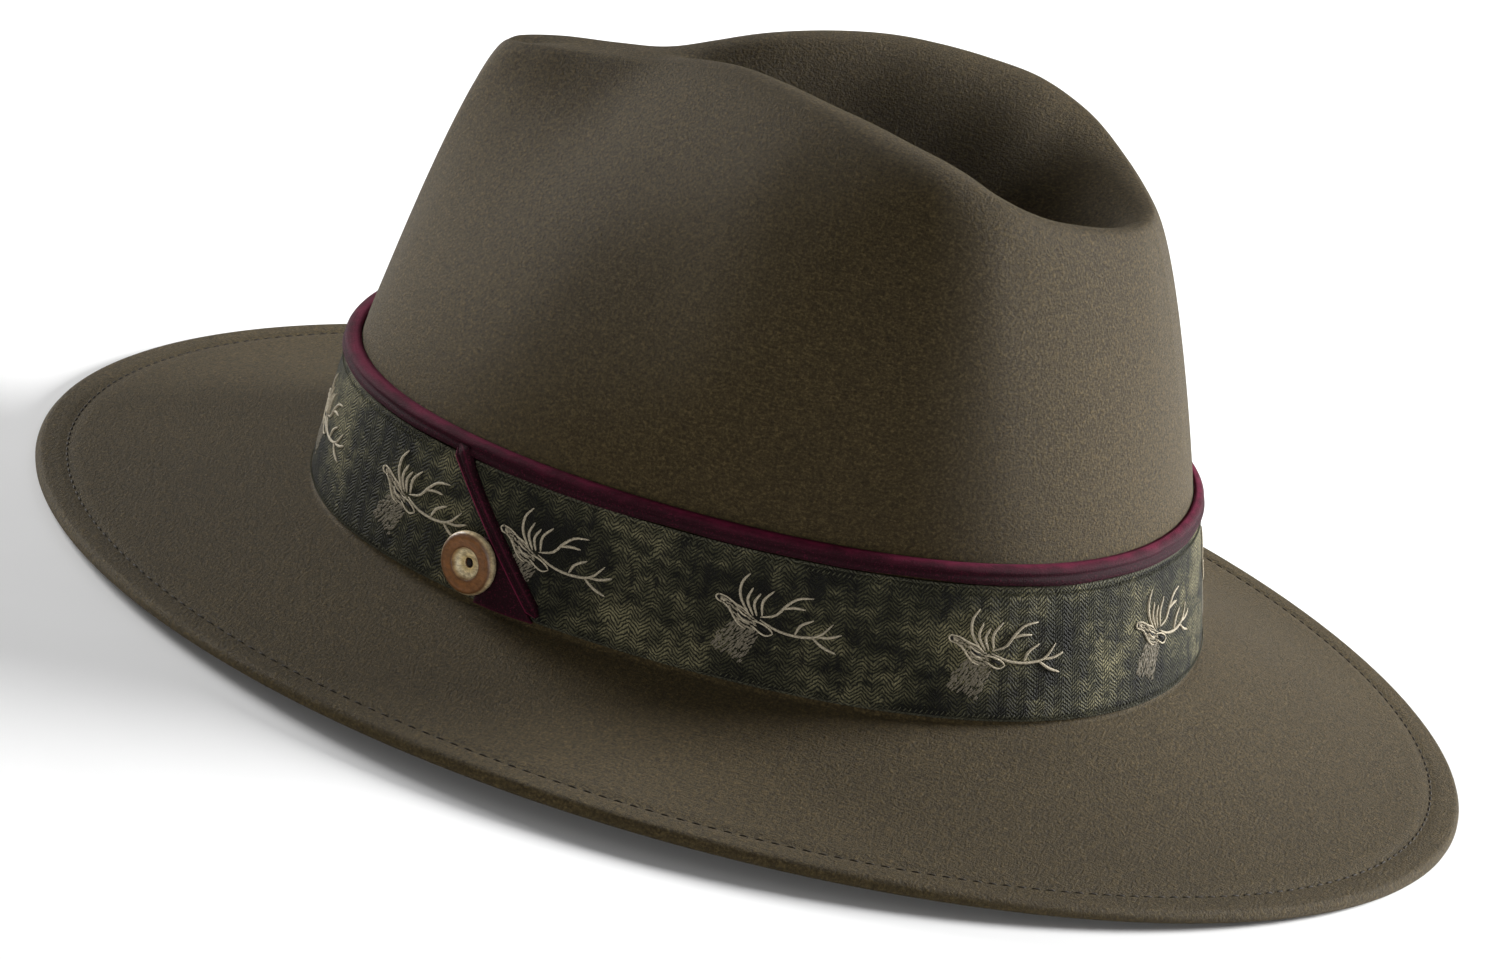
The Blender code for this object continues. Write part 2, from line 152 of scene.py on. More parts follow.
# Turned-down velvet: size and growth of its narrowed ends, its flare to the front under
# the piping, where it starts on the piping, and how much of GAP it keeps over the ribbon
EDGE_END_SHARE = 0.3
EDGE_END_GROWTH = 14
EDGE_FLARE = 0.9
EDGE_FLARE_REACH = 0.13
EDGE_START_ON_PIPING = 0.45
EDGE_SEAT = 0.3

# The ridge and the dent's floor from front to back, as shares of the sizes above
RIDGE_COLUMNS = ("around", "along", "half_width", "height", "floor_along", "depth")
RIDGE_TABLE = (
    (0, 0.000, 0.00, 0.882, 0.030, 0.00),
    (9, 0.012, 0.08, 0.887, 0.042, 0.00),
    (20, 0.070, 0.12, 0.901, 0.086, 0.00),
    (32, 0.155, 0.13, 0.914, 0.157, 0.00),
    (44, 0.232, 0.14, 0.930, 0.227, 0.00),
    (54, 0.298, 0.20, 0.957, 0.293, 0.11),
    (64, 0.371, 0.36, 0.982, 0.360, 0.36),
    (74, 0.450, 0.57, 0.994, 0.430, 0.63),
    (84, 0.523, 0.75, 0.996, 0.503, 0.83),
    (95, 0.596, 0.86, 0.991, 0.576, 0.96),
    (106, 0.669, 0.95, 0.979, 0.642, 1.00),
    (118, 0.748, 1.00, 0.961, 0.709, 0.96),
    (130, 0.821, 0.96, 0.927, 0.768, 0.85),
    (143, 0.894, 0.76, 0.886, 0.821, 0.67),
    (156, 0.957, 0.45, 0.860, 0.861, 0.52),
    (168, 0.989, 0.22, 0.850, 0.887, 0.44),
    (180, 1.000, 0.00, 0.846, 0.897, 0.41),
)

# Fineness of the new surfaces
HALF_COLUMNS = 180
RING_COLUMNS = 720
BRIM_ROWS = 46
BREAK_ROWS = 4
FOOT_ROWS = 6
WALL_ROWS = 46
DENT_ROWS = 26
RIM_ROWS = 8
RIBBON_ROWS = 24
RIBBON_BACK_ROWS = 4
ROLL_POINTS = 22
EDGE_STEPS = 60
TAB_ROWS = 40
TAB_COLUMNS = 30
BUTTON_ROWS = 72
BUTTON_SIDES = 96
THREAD_SIDES = 6
THREAD_END = 0.35

# Hem seam
SEAM_INSET = 0.0076
SEAM_GROOVE = 0.00055
SEAM_GROOVE_WIDTH = 0.0010
STITCH_LENGTH = 0.0025
STITCH_RADIUS = 0.00026
# Lift of a stitch over the groove and sink of its path, in thread radii, and the shares
# of that sink along the stitch
STITCH_LIFT = 0.4
STITCH_SINK = 1.6
STITCH_BOW = (1, 0.15, 0, 0, 0.15, 1)

# Ribbon: its soft edges, its back's ease over the felt and its slanting edge stitches
RIBBON_EDGE_SINK = 0.0005
RIBBON_EDGE_SHARPNESS = 18
RIBBON_BACK_EASE = 1.05
LOOP_HEIGHTS = (0.0008, RIBBON_HEIGHT - 0.0017)
LOOP_PITCH = 0.0012
LOOP_SLANT = 0.0007
LOOP_RISE = 0.0009
LOOP_RADIUS = 0.00014

# Herringbone: width of a stripe, lean of its ribs, and pitch of the ribs and of the picks
HERRINGBONE_WIDTH = 0.0024
RIB_LEAN = 0.9
RIB_PITCH = 0.00095
PICK_PITCH = 0.00062

# Stag heads along the ribbon, looking to the front of the hat: how many follow at an
# even pitch behind the button, the first one's place, the places ahead of the button,
# and how many share the far side evenly
STAGS_BEHIND = 4
STAG_BEHIND_BUTTON = 0.0144
STAG_AHEAD_OF_BUTTON = (0.0236, 0.0720)
STAG_HIDDEN = 6
STAG_HEIGHT = 0.0157
ANTLER_RADIUS = 0.00034
OUTLINE_RADIUS = 0.00021
SHADOW_RADIUS = 0.000315
FILL_RADIUS = 0.00022
# Strokes: points in millimetres behind and above the root of the antlers
HEAD_STROKES = (
    ((-9.6, 3.4), (-7.6, 3.0), (-5.4, 1.9), (-3.6, 1.3), (-1.8, 0.0)),
    ((-9.6, 3.4), (-10.2, 2.7), (-9.6, 1.9), (-8.6, 1.7)),
    ((-8.6, 1.7), (-7.2, 0.9), (-5.8, -0.9), (-4.4, -2.4), (-2.8, -3.0)),
    ((-9.0, 2.6), (-8.4, 2.2), (-8.2, 1.8)),
    ((-5.2, 1.2), (-4.0, 0.2), (-2.6, -0.3)),
    ((-5.0, 0.1), (-3.8, -1.0), (-2.2, -1.5)),
    ((-1.8, -0.8), (0.6, -1.1), (2.6, -2.0), (3.4, -2.9)),
    ((-1.4, -2.0), (0.4, -3.2), (2.0, -3.6), (3.4, -2.9)),
)
ANTLER_STROKES = (
    ((0.2, -0.4), (4.4, -2.0), (9.4, -2.3), (13.6, -1.3), (16.6, 1.9)),
    ((12.8, -1.6), (15.8, -1.3), (18.6, -0.2)),
    ((12.0, -1.9), (14.6, -3.6), (17.6, -4.6)),
    ((8.2, -2.1), (9.4, 0.2), (12.2, 1.9)),
    ((0.2, 0.2), (3.6, 1.3), (5.8, 3.9), (8.4, 6.0), (11.8, 6.7)),
    ((5.2, 3.1), (7.6, 3.8), (10.2, 3.9)),
    ((0.6, 0.4), (0.5, 3.8), (2.8, 6.6)),
    ((-0.6, 0.3), (-1.4, 3.0), (-0.2, 5.4)),
    ((-1.4, 0.2), (-3.0, 3.4), (-2.0, 6.4)),
    ((-2.2, 0.1), (-4.6, 3.6), (-4.7, 6.9), (-3.0, 9.4)),
)
SHADOW_STROKES = (
    ((-4.9, 0.7), (-3.8, -0.4), (-2.5, -0.9)),
    ((0.0, -1.8), (1.4, -2.2), (2.4, -2.7)),
    ((-9.7, 2.9), (-9.2, 2.2)),
)
# Edges of the satin-stitched muzzle, face and neck: two sides, each (start, end)
MUZZLE_SIDES = (((-9.3, 3.0), (-4.6, 1.3)), ((-8.6, 2.0), (-4.4, -1.8)))
FACE_SIDES = (((-4.6, 1.3), (-0.4, -1.0)), ((-4.4, -2.0), (-0.8, -3.2)))
NECK_SIDES = (((-5.2, -1.8), (-9.6, -7.2)), ((0.2, -3.4), (-2.4, -9.6)))

# Photograph's viewing angle, in the crown's own frame, and its frame in pixels
CAMERA_AZIMUTH = math.radians(101.11)
CAMERA_ELEVATION = math.radians(19.24)
CAMERA_ROLL = math.radians(11.30)
CAMERA_DISTANCE = 1.5673
CAMERA_TARGET = (0.0, -0.00456, 0.01586)
FOCAL_PIXELS = 6893.0
FRAME_WIDTH = 1500
SENSOR_WIDTH = 36.0

# Studio. Lights: name, place, diameter and share of the main power
LIGHTS = (
    ("key_behind_right", (-0.80, 1.20, 0.58), 0.6, 1.62),
    ("rim_left", (-0.60, -1.30, 0.55), 0.7, 0.72),
    ("top", (-0.9, 0.3, 1.4), 1.0, 0.03),
    ("front_fill", (1.9, 0.0, 0.20), 0.9, 0.43),
)
LIGHT_TARGET = (0, 0, 0.05)
WORLD_STRENGTH = 0.15
FLOOR_HALF = 6.0
FLOOR_DROP = 0.0002


class HatSettings(bpy.types.PropertyGroup):
    """Pitches and colours that a user would change, and the power of the lights."""

    stitch_pitch: bpy.props.FloatProperty(
        name="Stitch pitch", description="Length of seam from one hem stitch to the next",
        default=0.0034, min=0.003, max=0.01, precision=4, unit="LENGTH")
    stag_pitch: bpy.props.FloatProperty(
        name="Stag pitch", description="Length of ribbon from one stag head to the next",
        default=0.0530, min=0.03, max=0.08, precision=4, unit="LENGTH")
    felt_color: bpy.props.FloatVectorProperty(
        name="Felt", description="Middle colour of the felt", subtype="COLOR",
        default=(0.047, 0.0335, 0.0135), min=0, max=1)
    ribbon_color: bpy.props.FloatVectorProperty(
        name="Ribbon", description="Middle colour of the woven ribbon", subtype="COLOR",
        default=(0.027, 0.027, 0.0155), min=0, max=1)
    velvet_color: bpy.props.FloatVectorProperty(
        name="Velvet", description="Ground colour of the velvet", subtype="COLOR",
        default=(0.036, 0.0026, 0.0095), min=0, max=1)
    thread_color: bpy.props.FloatVectorProperty(
        name="Stag thread", description="Colour of the raised stag heads", subtype="COLOR",
        default=(0.46, 0.40, 0.29), min=0, max=1)
    horn_color: bpy.props.FloatVectorProperty(
        name="Horn", description="Brown of the button's face", subtype="COLOR",
        default=(0.22, 0.092, 0.030), min=0, max=1)
    light_power: bpy.props.FloatProperty(
        name="Light", description="Power that the lights take their shares of", default=36.0,
        min=0, unit="POWER")


def settings():
    """The scene's hat settings."""
    return bpy.context.scene.hat_settings


def smooth_through(places, values, wanted):
    """Cubic pieces through a table's rows, each row's slope taken from its neighbours."""
    places = np.asarray(places, float)
    values = np.asarray(values, float)
    slopes = np.gradient(values, places)
    part = np.clip(np.searchsorted(places, wanted, side="right") - 1, 0, len(places) - 2)
    step = places[part + 1] - places[part]
    t = (wanted - places[part]) / step
    start = (1 + 2 * t) * (1 - t) ** 2 * values[part] + t * (1 - t) ** 2 * step * slopes[part]
    end = t**2 * (3 - 2 * t) * values[part + 1] - t**2 * (1 - t) * step * slopes[part + 1]
    return start + end


def ridge_column(name, angles):
    """One column of the ridge table, run smoothly through the angles round the hat."""
    rows = np.array(RIDGE_TABLE, float)
    return smooth_through(rows[:, 0], rows[:, RIDGE_COLUMNS.index(name)], np.degrees(angles))


def oval(angles, half_length, half_width, back_widening, bulge):
    """Egg-shaped oval: an ellipse widened to the back and swollen at its diagonals."""
    swell = 1 + bulge * (1 - np.cos(4 * angles)) / 2
    x = half_width * (1 - back_widening * np.cos(angles)) * np.sin(angles) * swell
    y = -half_length * np.cos(angles) * swell
    return x, y


def band_point(angles, height, stand_off):
    """Tapered oval at a height on the foot of the crown, pushed out along its normal."""
    angles, height, stand_off = np.broadcast_arrays(
        np.asarray(angles, float), np.asarray(height, float), np.asarray(stand_off, float)
    )
    share = height / BAND_HEIGHT
    half_length = (HEAD_LENGTH - BAND_LENGTH_TAPER * share) / 2
    half_width = (HEAD_WIDTH - BAND_WIDTH_TAPER * share) / 2
    x, y = oval(angles, half_length, half_width, HEAD_BACK_WIDENING, HEAD_DIAGONAL_BULGE)
    out = np.stack([x / half_width**2, y / half_length**2], -1)
    out /= np.linalg.norm(out, axis=-1, keepdims=True)
    y = y + BAND_TOP_SHIFT * share
    return np.stack([x + out[..., 0] * stand_off, y + out[..., 1] * stand_off, height], -1)


def round_the_hat(angles, front, side, back):
    """Runs smoothly from the front's value through the side's to the back's."""
    ends = np.where(angles < math.pi / 2, front, back)
    return (ends + (side - ends) * np.sin(angles) ** 2)[:, None]


def bezier(p0, p1, p2, p3, t):
    """Cubic Bezier arc from p0 to p3, pulled towards p1 and p2 on its way."""
    return (1 - t) ** 3 * p0 + 3 * t * (1 - t) ** 2 * p1 + 3 * t**2 * (1 - t) * p2 + t**3 * p3


def brim_edge(angles):
    """The brim's outer upper edge, at the height at which it rests on the table."""
    x, y = oval(angles, HEAD_LENGTH / 2 + BRIM_WIDTH, HEAD_WIDTH / 2 + BRIM_WIDTH,
                -BRIM_BACK_NARROWING, BRIM_DIAGONAL_BULGE)
    y = y + BRIM_SHIFT
    rest = HEM_THICKNESS - FELT_PRESS + BRIM_SIDE_RISE * np.sin(angles) ** 2
    z = (rest - BASE_HEIGHT - y * math.sin(CROWN_LEAN)) / math.cos(CROWN_LEAN)
    return np.stack([x, y, z], -1)


def brim_rows(angles):
    """Upper face of the brim: straight lines in plan from the crown's foot to the edge,
    falling as a power of the way out, with the seam's groove pressed into the hem."""
    foot = band_point(angles, 0, BRIM_BREAK_RADIUS)
    foot[:, 2] = -GAP - BRIM_BREAK_RADIUS
    edge = brim_edge(angles)
    inset = HEM_THICKNESS / 2 / BRIM_WIDTH
    shares = np.linspace(1 - inset, 0, BRIM_ROWS)
    rows = []
    for share in shares:
        row = foot + (edge - foot) * share
        row[:, 2] = foot[:, 2] + (edge[:, 2] - foot[:, 2]) * (1 - (1 - share) ** BRIM_FALL_POWER)
        from_seam = ((1 - share) * BRIM_WIDTH - SEAM_INSET) / SEAM_GROOVE_WIDTH
        row[:, 2] -= SEAM_GROOVE * math.exp(-from_seam**2)
        rows.append(row)
    return rows


def break_rows(angles):
    """Quarter circle from the brim up into the crown's wall."""
    rows = []
    for turn in np.linspace(0, math.pi / 2, BREAK_ROWS + 1)[1:]:
        row = band_point(angles, 0, BRIM_BREAK_RADIUS * (1 - math.sin(turn)))
        row[:, 2] = -GAP - BRIM_BREAK_RADIUS * math.cos(turn)
        rows.append(row)
    return rows


def crown_rows(angles):
    """Wall, ridge and dent. In each column a straight foot runs up behind the ribbon, one
    Bezier arc goes on over the shoulder to the ridge and a second one down to the dent's
    floor, with a level tangent shared at the ridge."""
    inset = round_the_hat(angles, INSET_FRONT, INSET_SIDE, INSET_BACK)[:, 0]
    wall_top = band_point(angles, BAND_HEIGHT, -inset)
    ahead = RIDGE_SETBACK - HEAD_LENGTH / 2
    height = ridge_column("height", angles) * CROWN_HEIGHT
    x = ridge_column("half_width", angles) * RIDGE_WIDTH / 2
    x[0] = x[-1] = 0
    ridge = np.stack([x, ridge_column("along", angles) * RIDGE_LENGTH + ahead, height], -1)
    floor_y = ridge_column("floor_along", angles) * RIDGE_LENGTH + ahead
    floor = np.stack([0 * x, floor_y, height - ridge_column("depth", angles) * DENT_DEPTH], -1)
    run = np.gradient(ridge[:, :2], axis=0)
    run[0] = (1, 0)
    run[-1] = (-1, 0)
    out = np.stack([run[:, 1], -run[:, 0], 0 * x], -1)
    out /= np.linalg.norm(out, axis=1, keepdims=True)
    rise = ridge[:, 2:] - wall_top[:, 2:]
    lean = (wall_top - band_point(angles, 0, 0)) / BAND_HEIGHT
    swing = round_the_hat(angles, SHOULDER_FRONT, SHOULDER_SIDE, SHOULDER_BACK)
    upright = round_the_hat(angles, UPRIGHT_FRONT, UPRIGHT_SIDE, UPRIGHT_BACK)
    wall_arc = (wall_top, wall_top + lean * rise * upright, ridge + out * swing, ridge)
    reach = np.linalg.norm(ridge - floor, axis=1, keepdims=True)
    dent_arc = (ridge, ridge - out * reach * DENT_SIDE_REACH,
                floor + out * reach * DENT_FLOOR_REACH, floor)
    foot = band_point(angles, 0, 0)
    rows = [foot + (wall_top - foot) * share for share in np.linspace(0, 1, FOOT_ROWS + 1)]
    rows += [pinch(bezier(*wall_arc, math.sin(t * math.pi / 2)))
             for t in np.linspace(0, 1, WALL_ROWS + 1)[1:]]
    rows += [bezier(*dent_arc, t) for t in np.linspace(0, 1, DENT_ROWS + 1)[1:]]
    for row in rows:
        row[[0, -1], 0] = 0
    rows[-1][:, 0] = 0
    return rows


def pinch(points):
    """Presses a shallow finger dent, a bell curve, into the front of each side wall."""
    middle = np.array([HEAD_WIDTH, HEAD_LENGTH, CROWN_HEIGHT]) * PINCH_PLACE
    near = np.exp(-(((points - middle) / PINCH_RADIUS) ** 2).sum(-1))
    points[..., 0] -= PINCH_DEPTH * near
    return points


def turn_matrix():
    """The crown's lean over the level table, a turn about X."""
    return np.array(Matrix.Rotation(CROWN_LEAN, 3, "X"))


@functools.cache
def hat_shift():
    """Along Y, what centres the brim over the origin, as the frame has it."""
    ends = brim_edge(np.array([0.0, math.pi])) @ turn_matrix().T
    low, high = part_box("felt_body")
    return (low[1] + high[1]) / 2 - (ends[0, 1] + ends[1, 1]) / 2


def to_rest(points):
    """From the crown's own frame to the way that the hat rests."""
    points = np.asarray(points, float) @ turn_matrix().T
    points[..., 1] += hat_shift()
    points[..., 2] += BASE_HEIGHT
    return points


def run_length(points):
    """Length run from a path's first point to each of its points."""
    return np.concatenate([[0], np.cumsum(np.linalg.norm(np.diff(points, axis=0), axis=1))])


def grid_faces(rows, columns, wrap_rows=False, wrap_columns=False, start=0):
    """Quads of a grid of points, the first of which has the number start."""
    i = np.arange(rows if wrap_rows else rows - 1)[:, None]
    j = np.arange(columns if wrap_columns else columns - 1)[None, :]
    a = i * columns + j
    b = i * columns + (j + 1) % columns
    c = ((i + 1) % rows) * columns + (j + 1) % columns
    d = ((i + 1) % rows) * columns + j
    return (np.stack([a, b, c, d], -1).reshape(-1, 4) + start).tolist()


def tube_faces(rings, sides, start=0):
    """Quads along a tube of rings and one flat face over each end."""
    last = start + (rings - 1) * sides
    ends = [list(range(start, start + sides))[::-1], list(range(last, last + sides))]
    return grid_faces(rings, sides, wrap_columns=True, start=start) + ends


def new_object(name, data):
    """An object for a mesh, light or camera, linked to the scene."""
    obj = bpy.data.objects.new(name, data)
    bpy.context.scene.collection.objects.link(obj)
    return obj


def new_piece(name, points, faces, material):
    """A mesh piece from a grid of points, shaded smooth, riding on the hat."""
    mesh = bpy.data.meshes.new(name)
    mesh.from_pydata(np.reshape(points, (-1, 3)).tolist(), [], faces)
    mesh.shade_smooth()
    mesh.materials.append(material)
    obj = new_object(name, mesh)
    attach(obj, "root")
    return obj


def turn_outward(obj, merge=0.0):
    """Joins points closer than merge, then faces a closed mesh outward."""
    work = bmesh.new()
    work.from_mesh(obj.data)
    if merge:
        bmesh.ops.remove_doubles(work, verts=work.verts, dist=merge)
    bmesh.ops.recalc_face_normals(work, faces=work.faces)
    work.to_mesh(obj.data)
    work.free()


def add_uv(obj, u, v):
    """One UV pair for each vertex, written to its corners."""
    mesh = obj.data
    layer = mesh.uv_layers.new(name="cloth")
    corner = np.empty(len(mesh.loops), np.int32)
    mesh.loops.foreach_get("vertex_index", corner)
    pair = np.stack([np.ravel(u)[corner], np.ravel(v)[corner]], -1)
    layer.data.foreach_set("uv", pair.astype(np.float32).ravel())


def felt_half():
    """Upper face of half the hat, row by row from the brim's edge to the dent's middle."""
    angles = np.linspace(0, math.pi, HALF_COLUMNS + 1)
    return np.array(brim_rows(angles) + break_rows(angles) + crown_rows(angles)[1:])


def felt_points():
    """Closed felt wall: the upper face, its copy set in along the normals by the felt's
    thickness, and a half-round edge between them."""
    half = felt_half()
    other = half[:, -2:0:-1] * np.array([-1, 1, 1])
    upper = np.concatenate([half, other], 1)
    along = np.roll(upper, -1, 1) - np.roll(upper, 1, 1)
    inward = np.gradient(upper, axis=0)
    normal = np.cross(along, inward)
    normal[-1] = np.array([0, 0, 1])
    normal /= np.maximum(np.linalg.norm(normal, axis=-1, keepdims=True), 1e-12)
    hem_widths = np.arange(len(upper)) / (BRIM_ROWS * HEM_WIDTH / BRIM_WIDTH)
    share = np.clip((hem_widths - HEM_BLEND_START) / HEM_BLEND_LENGTH, 0, 1)
    thickness = HEM_THICKNESS + (FELT_THICKNESS - HEM_THICKNESS) * share
    lower = upper - normal * thickness[:, None, None]
    middle = (upper[0] + lower[0]) / 2
    arm = (upper[0] - lower[0]) / 2
    out = np.cross(arm, along[0])
    out *= np.linalg.norm(arm, axis=1, keepdims=True) / np.linalg.norm(out, axis=1, keepdims=True)
    turns = np.linspace(0, math.pi, RIM_ROWS + 1)[1:-1]
    edge = [middle + arm * math.cos(t) - out * math.sin(t) for t in turns]
    return upper, np.concatenate([upper[::-1], np.array(edge), lower]), normal


def make_felt():
    """The felt wall, with the brim's resting places pressed flat on the table."""
    points = felt_points()[1]
    world = to_rest(points)
    world[..., 2] = np.maximum(world[..., 2], 0)
    rows, columns = points.shape[:2]
    obj = new_piece("felt_crown_and_brim", world, grid_faces(rows, columns, wrap_columns=True),
                    felt_material())
    turn_outward(obj, merge=1e-6)
    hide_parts("felt_body")


def thread(path, radius):
    """Rings of a round thread along a path. Its radius follows the root of a half sine, so
    that it narrows towards both ends."""
    path = np.asarray(path, float)
    run = np.gradient(path, axis=0)
    run /= np.linalg.norm(run, axis=1, keepdims=True)
    out = path * np.array([1, 1, 0])
    out /= np.linalg.norm(out, axis=1, keepdims=True)
    side = np.cross(run, out)
    side /= np.maximum(np.linalg.norm(side, axis=1, keepdims=True), 1e-9)
    out = np.cross(side, run)
    bow = np.sin(np.linspace(0, math.pi, len(path))) ** 0.5
    width = (radius * (THREAD_END + (1 - THREAD_END) * bow))[:, None, None]
    turn = np.linspace(0, 2 * math.pi, THREAD_SIDES, endpoint=False)[None, :, None]
    return path[:, None] + width * (side[:, None] * np.cos(turn) + out[:, None] * np.sin(turn))


def join_threads(name, paths, radius, material):
    """Many threads as one piece, each closed at both ends."""
    points, faces, start = [], [], 0
    for path in paths:
        rings = thread(path, radius).reshape(-1, 3)
        faces += tube_faces(len(path), THREAD_SIDES, start)
        points.append(rings)
        start += len(rings)
    obj = new_piece(name, np.concatenate(points), faces, material)
    turn_outward(obj)


def make_stitches():
    """Even stitches in the hem's groove: the seam's ring, cut at every pitch."""
    upper, _, normal = felt_points()
    rim = HEM_THICKNESS / 2
    row = round((SEAM_INSET - rim) / (BRIM_WIDTH - rim) * (BRIM_ROWS - 1))
    ring = upper[row] + normal[row] * STITCH_RADIUS * STITCH_LIFT
    ring = np.concatenate([ring, ring[:1]])
    arc = run_length(ring)
    whole = arc[-1]
    count = int(whole / settings().stitch_pitch)
    sink = np.array(STITCH_BOW) * STITCH_RADIUS * STITCH_SINK
    paths = []
    for start in np.arange(count) * whole / count:
        spots = (start + np.linspace(0, STITCH_LENGTH, len(sink))) % whole
        path = np.stack([np.interp(spots, arc, ring[:, k]) for k in range(3)], -1)
        path[:, 2] -= sink
        paths.append(to_rest(path))
    material = thread_material("hem_thread", (0.022, 0.016, 0.009), 0.0)
    join_threads("hem_stitches", paths, STITCH_RADIUS, material)


def full_angles():
    """Even angles once round the hat, from the front."""
    return np.linspace(0, 2 * math.pi, RING_COLUMNS, endpoint=False)


@functools.cache
def ribbon_arc():
    """Angles round the band, how far behind the button each lies along the ribbon, and
    the whole way round."""
    angles = np.linspace(0, 2 * math.pi, 2 * RING_COLUMNS + 1)
    arc = run_length(band_point(angles, 0, RIBBON_FACE))
    return angles, arc - np.interp(BUTTON_ANGLE, angles, arc), arc[-1]


def angle_behind(behind):
    """Angle of a place on the ribbon from its length behind the button."""
    angles, arc, whole = ribbon_arc()
    return np.interp((np.asarray(behind, float) - arc[0]) % whole + arc[0], arc, angles)


def make_ribbon():
    """Ribbon wall: rows up its face and down its back, carried round the crown. The face
    sinks towards both edges by falling exponentials."""
    lift = np.linspace(0, 1, RIBBON_ROWS + 1)
    back = np.linspace(1, 0, RIBBON_BACK_ROWS + 1)
    fall = np.exp(-lift * RIBBON_EDGE_SHARPNESS) + np.exp(-(1 - lift) * RIBBON_EDGE_SHARPNESS)
    face_out = RIBBON_FACE - RIBBON_EDGE_SINK * fall
    out = np.concatenate([face_out, np.full(len(back), GAP * RIBBON_BACK_EASE)])[:, None]
    height = RIBBON_HEIGHT * np.concatenate([lift, back])[:, None]
    angles = full_angles()
    rows = band_point(angles, height, out)
    obj = new_piece("ribbon_cloth", to_rest(rows),
                    grid_faces(len(rows), len(angles), True, True), ribbon_material())
    table_angles, arc = ribbon_arc()[:2]
    behind = np.interp(angles, table_angles, arc)
    add_uv(obj, np.broadcast_to(behind, rows.shape[:2]), np.broadcast_to(height, rows.shape[:2]))
    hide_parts("ribbon_band")


def stag_places():
    """Root of each stag's antlers, in length behind the button along the ribbon."""
    whole = ribbon_arc()[2]
    near = [STAG_BEHIND_BUTTON + settings().stag_pitch * k for k in range(STAGS_BEHIND)]
    ahead = [-place for place in STAG_AHEAD_OF_BUTTON]
    hidden = np.linspace(near[-1], whole + ahead[-1], STAG_HIDDEN + 2)[1:-1]
    return near + ahead + hidden.tolist()


def on_ribbon(flat, place, proud):
    """Lays flat points, millimetres behind and up, on the ribbon's face at a stag."""
    flat = np.asarray(flat, float) / 1000
    angles = angle_behind(place + flat[:, 0])
    return band_point(angles, STAG_HEIGHT + flat[:, 1], RIBBON_FACE + proud)


def smooth_stroke(points, count=9):
    """Even points on the smooth curve through a stroke's few points."""
    points = np.asarray(points, float)
    places = np.linspace(0, 1, len(points))
    wanted = np.linspace(0, 1, count)
    return np.stack([smooth_through(places, points[:, k], wanted) for k in range(2)], -1)


def satin(sides, along, across, lay, loose, seed):
    """Short stitches on a grid of along by across between two sides. Each has the length
    and slant of lay, give or take a little, and is moved out of line by loose."""
    rng = np.random.default_rng(seed)
    (a0, a1), (b0, b1) = np.array(sides, float)
    strokes = []
    for t in np.linspace(0, 1, along):
        for s in np.linspace(0, 1, across):
            spot = (a0 + (a1 - a0) * t) * (1 - s) + (b0 + (b1 - b0) * t) * s
            spot = spot + rng.normal(0, loose, 2)
            strokes.append(np.linspace(spot, spot + np.array(lay) * rng.uniform(0.7, 1.2), 4))
    return strokes


def make_stags():
    """Raised outlines and antlers over flat satin stitches, once at every place."""
    neck = satin(NECK_SIDES, 12, 13, (-0.8, -1.0), 0.32, 7)
    muzzle = satin(MUZZLE_SIDES, 10, 4, (-0.8, 0.3), 0.10, 8)
    cheek = satin(FACE_SIDES, 8, 5, (-0.9, 0.4), 0.12, 9)
    shadows = [smooth_stroke(stroke, 5) for stroke in SHADOW_STROKES]
    outlines = [smooth_stroke(stroke) for stroke in HEAD_STROKES]
    antlers = [smooth_stroke(stroke, 12) for stroke in ANTLER_STROKES]
    # Name, strokes, thread radius, height over the ribbon and share of the thread's colour
    layers = (
        ("stag_necks", neck, FILL_RADIUS, -0.00005, 0.36),
        ("stag_faces", muzzle + cheek, FILL_RADIUS, 0.00006, 0.62),
        ("stag_shadows", shadows, SHADOW_RADIUS, 0.00018, 0.02),
        ("stag_outlines", outlines, OUTLINE_RADIUS, 0.00026, 1.00),
        ("stag_antlers", antlers, ANTLER_RADIUS, 0.00010, 0.84),
    )
    color = np.array(settings().thread_color)
    places = stag_places()
    for name, strokes, radius, proud, share in layers:
        paths = [to_rest(on_ribbon(stroke, place, proud)) for place in places for stroke in strokes]
        material = thread_material(name + "_thread", color * share)
        join_threads(name, paths, radius, material)


def make_selvedge():
    """Slanting edge stitches along both edges of the ribbon, one at every pitch."""
    whole = ribbon_arc()[2]
    paths = []
    for height in LOOP_HEIGHTS:
        for place in np.arange(0, whole - 0.001, LOOP_PITCH):
            flat = np.linspace((place, height), (place + LOOP_SLANT, height + LOOP_RISE), 4)
            path = band_point(angle_behind(flat[:, 0]), flat[:, 1], RIBBON_FACE)
            paths.append(to_rest(path))
    material = thread_material("edge_thread", (0.060, 0.059, 0.036), 0.0)
    join_threads("ribbon_edge_stitches", paths, LOOP_RADIUS, material)


def roll_section(width, thickness):
    """Velvet roll with a flat back. Its bow is a power of a half cosine, with a bell-shaped
    valley taken out of it between two soft ridges."""
    turn = np.linspace(-math.pi / 2, math.pi / 2, ROLL_POINTS)
    side = np.sin(turn)
    valley = VALLEY_DEPTH * np.exp(-((side - VALLEY_PLACE) / VALLEY_REACH) ** 2)
    swell = np.abs(np.cos(turn)) ** ROLL_FULLNESS * (1 - valley)
    return thickness * swell, width / 2 * side


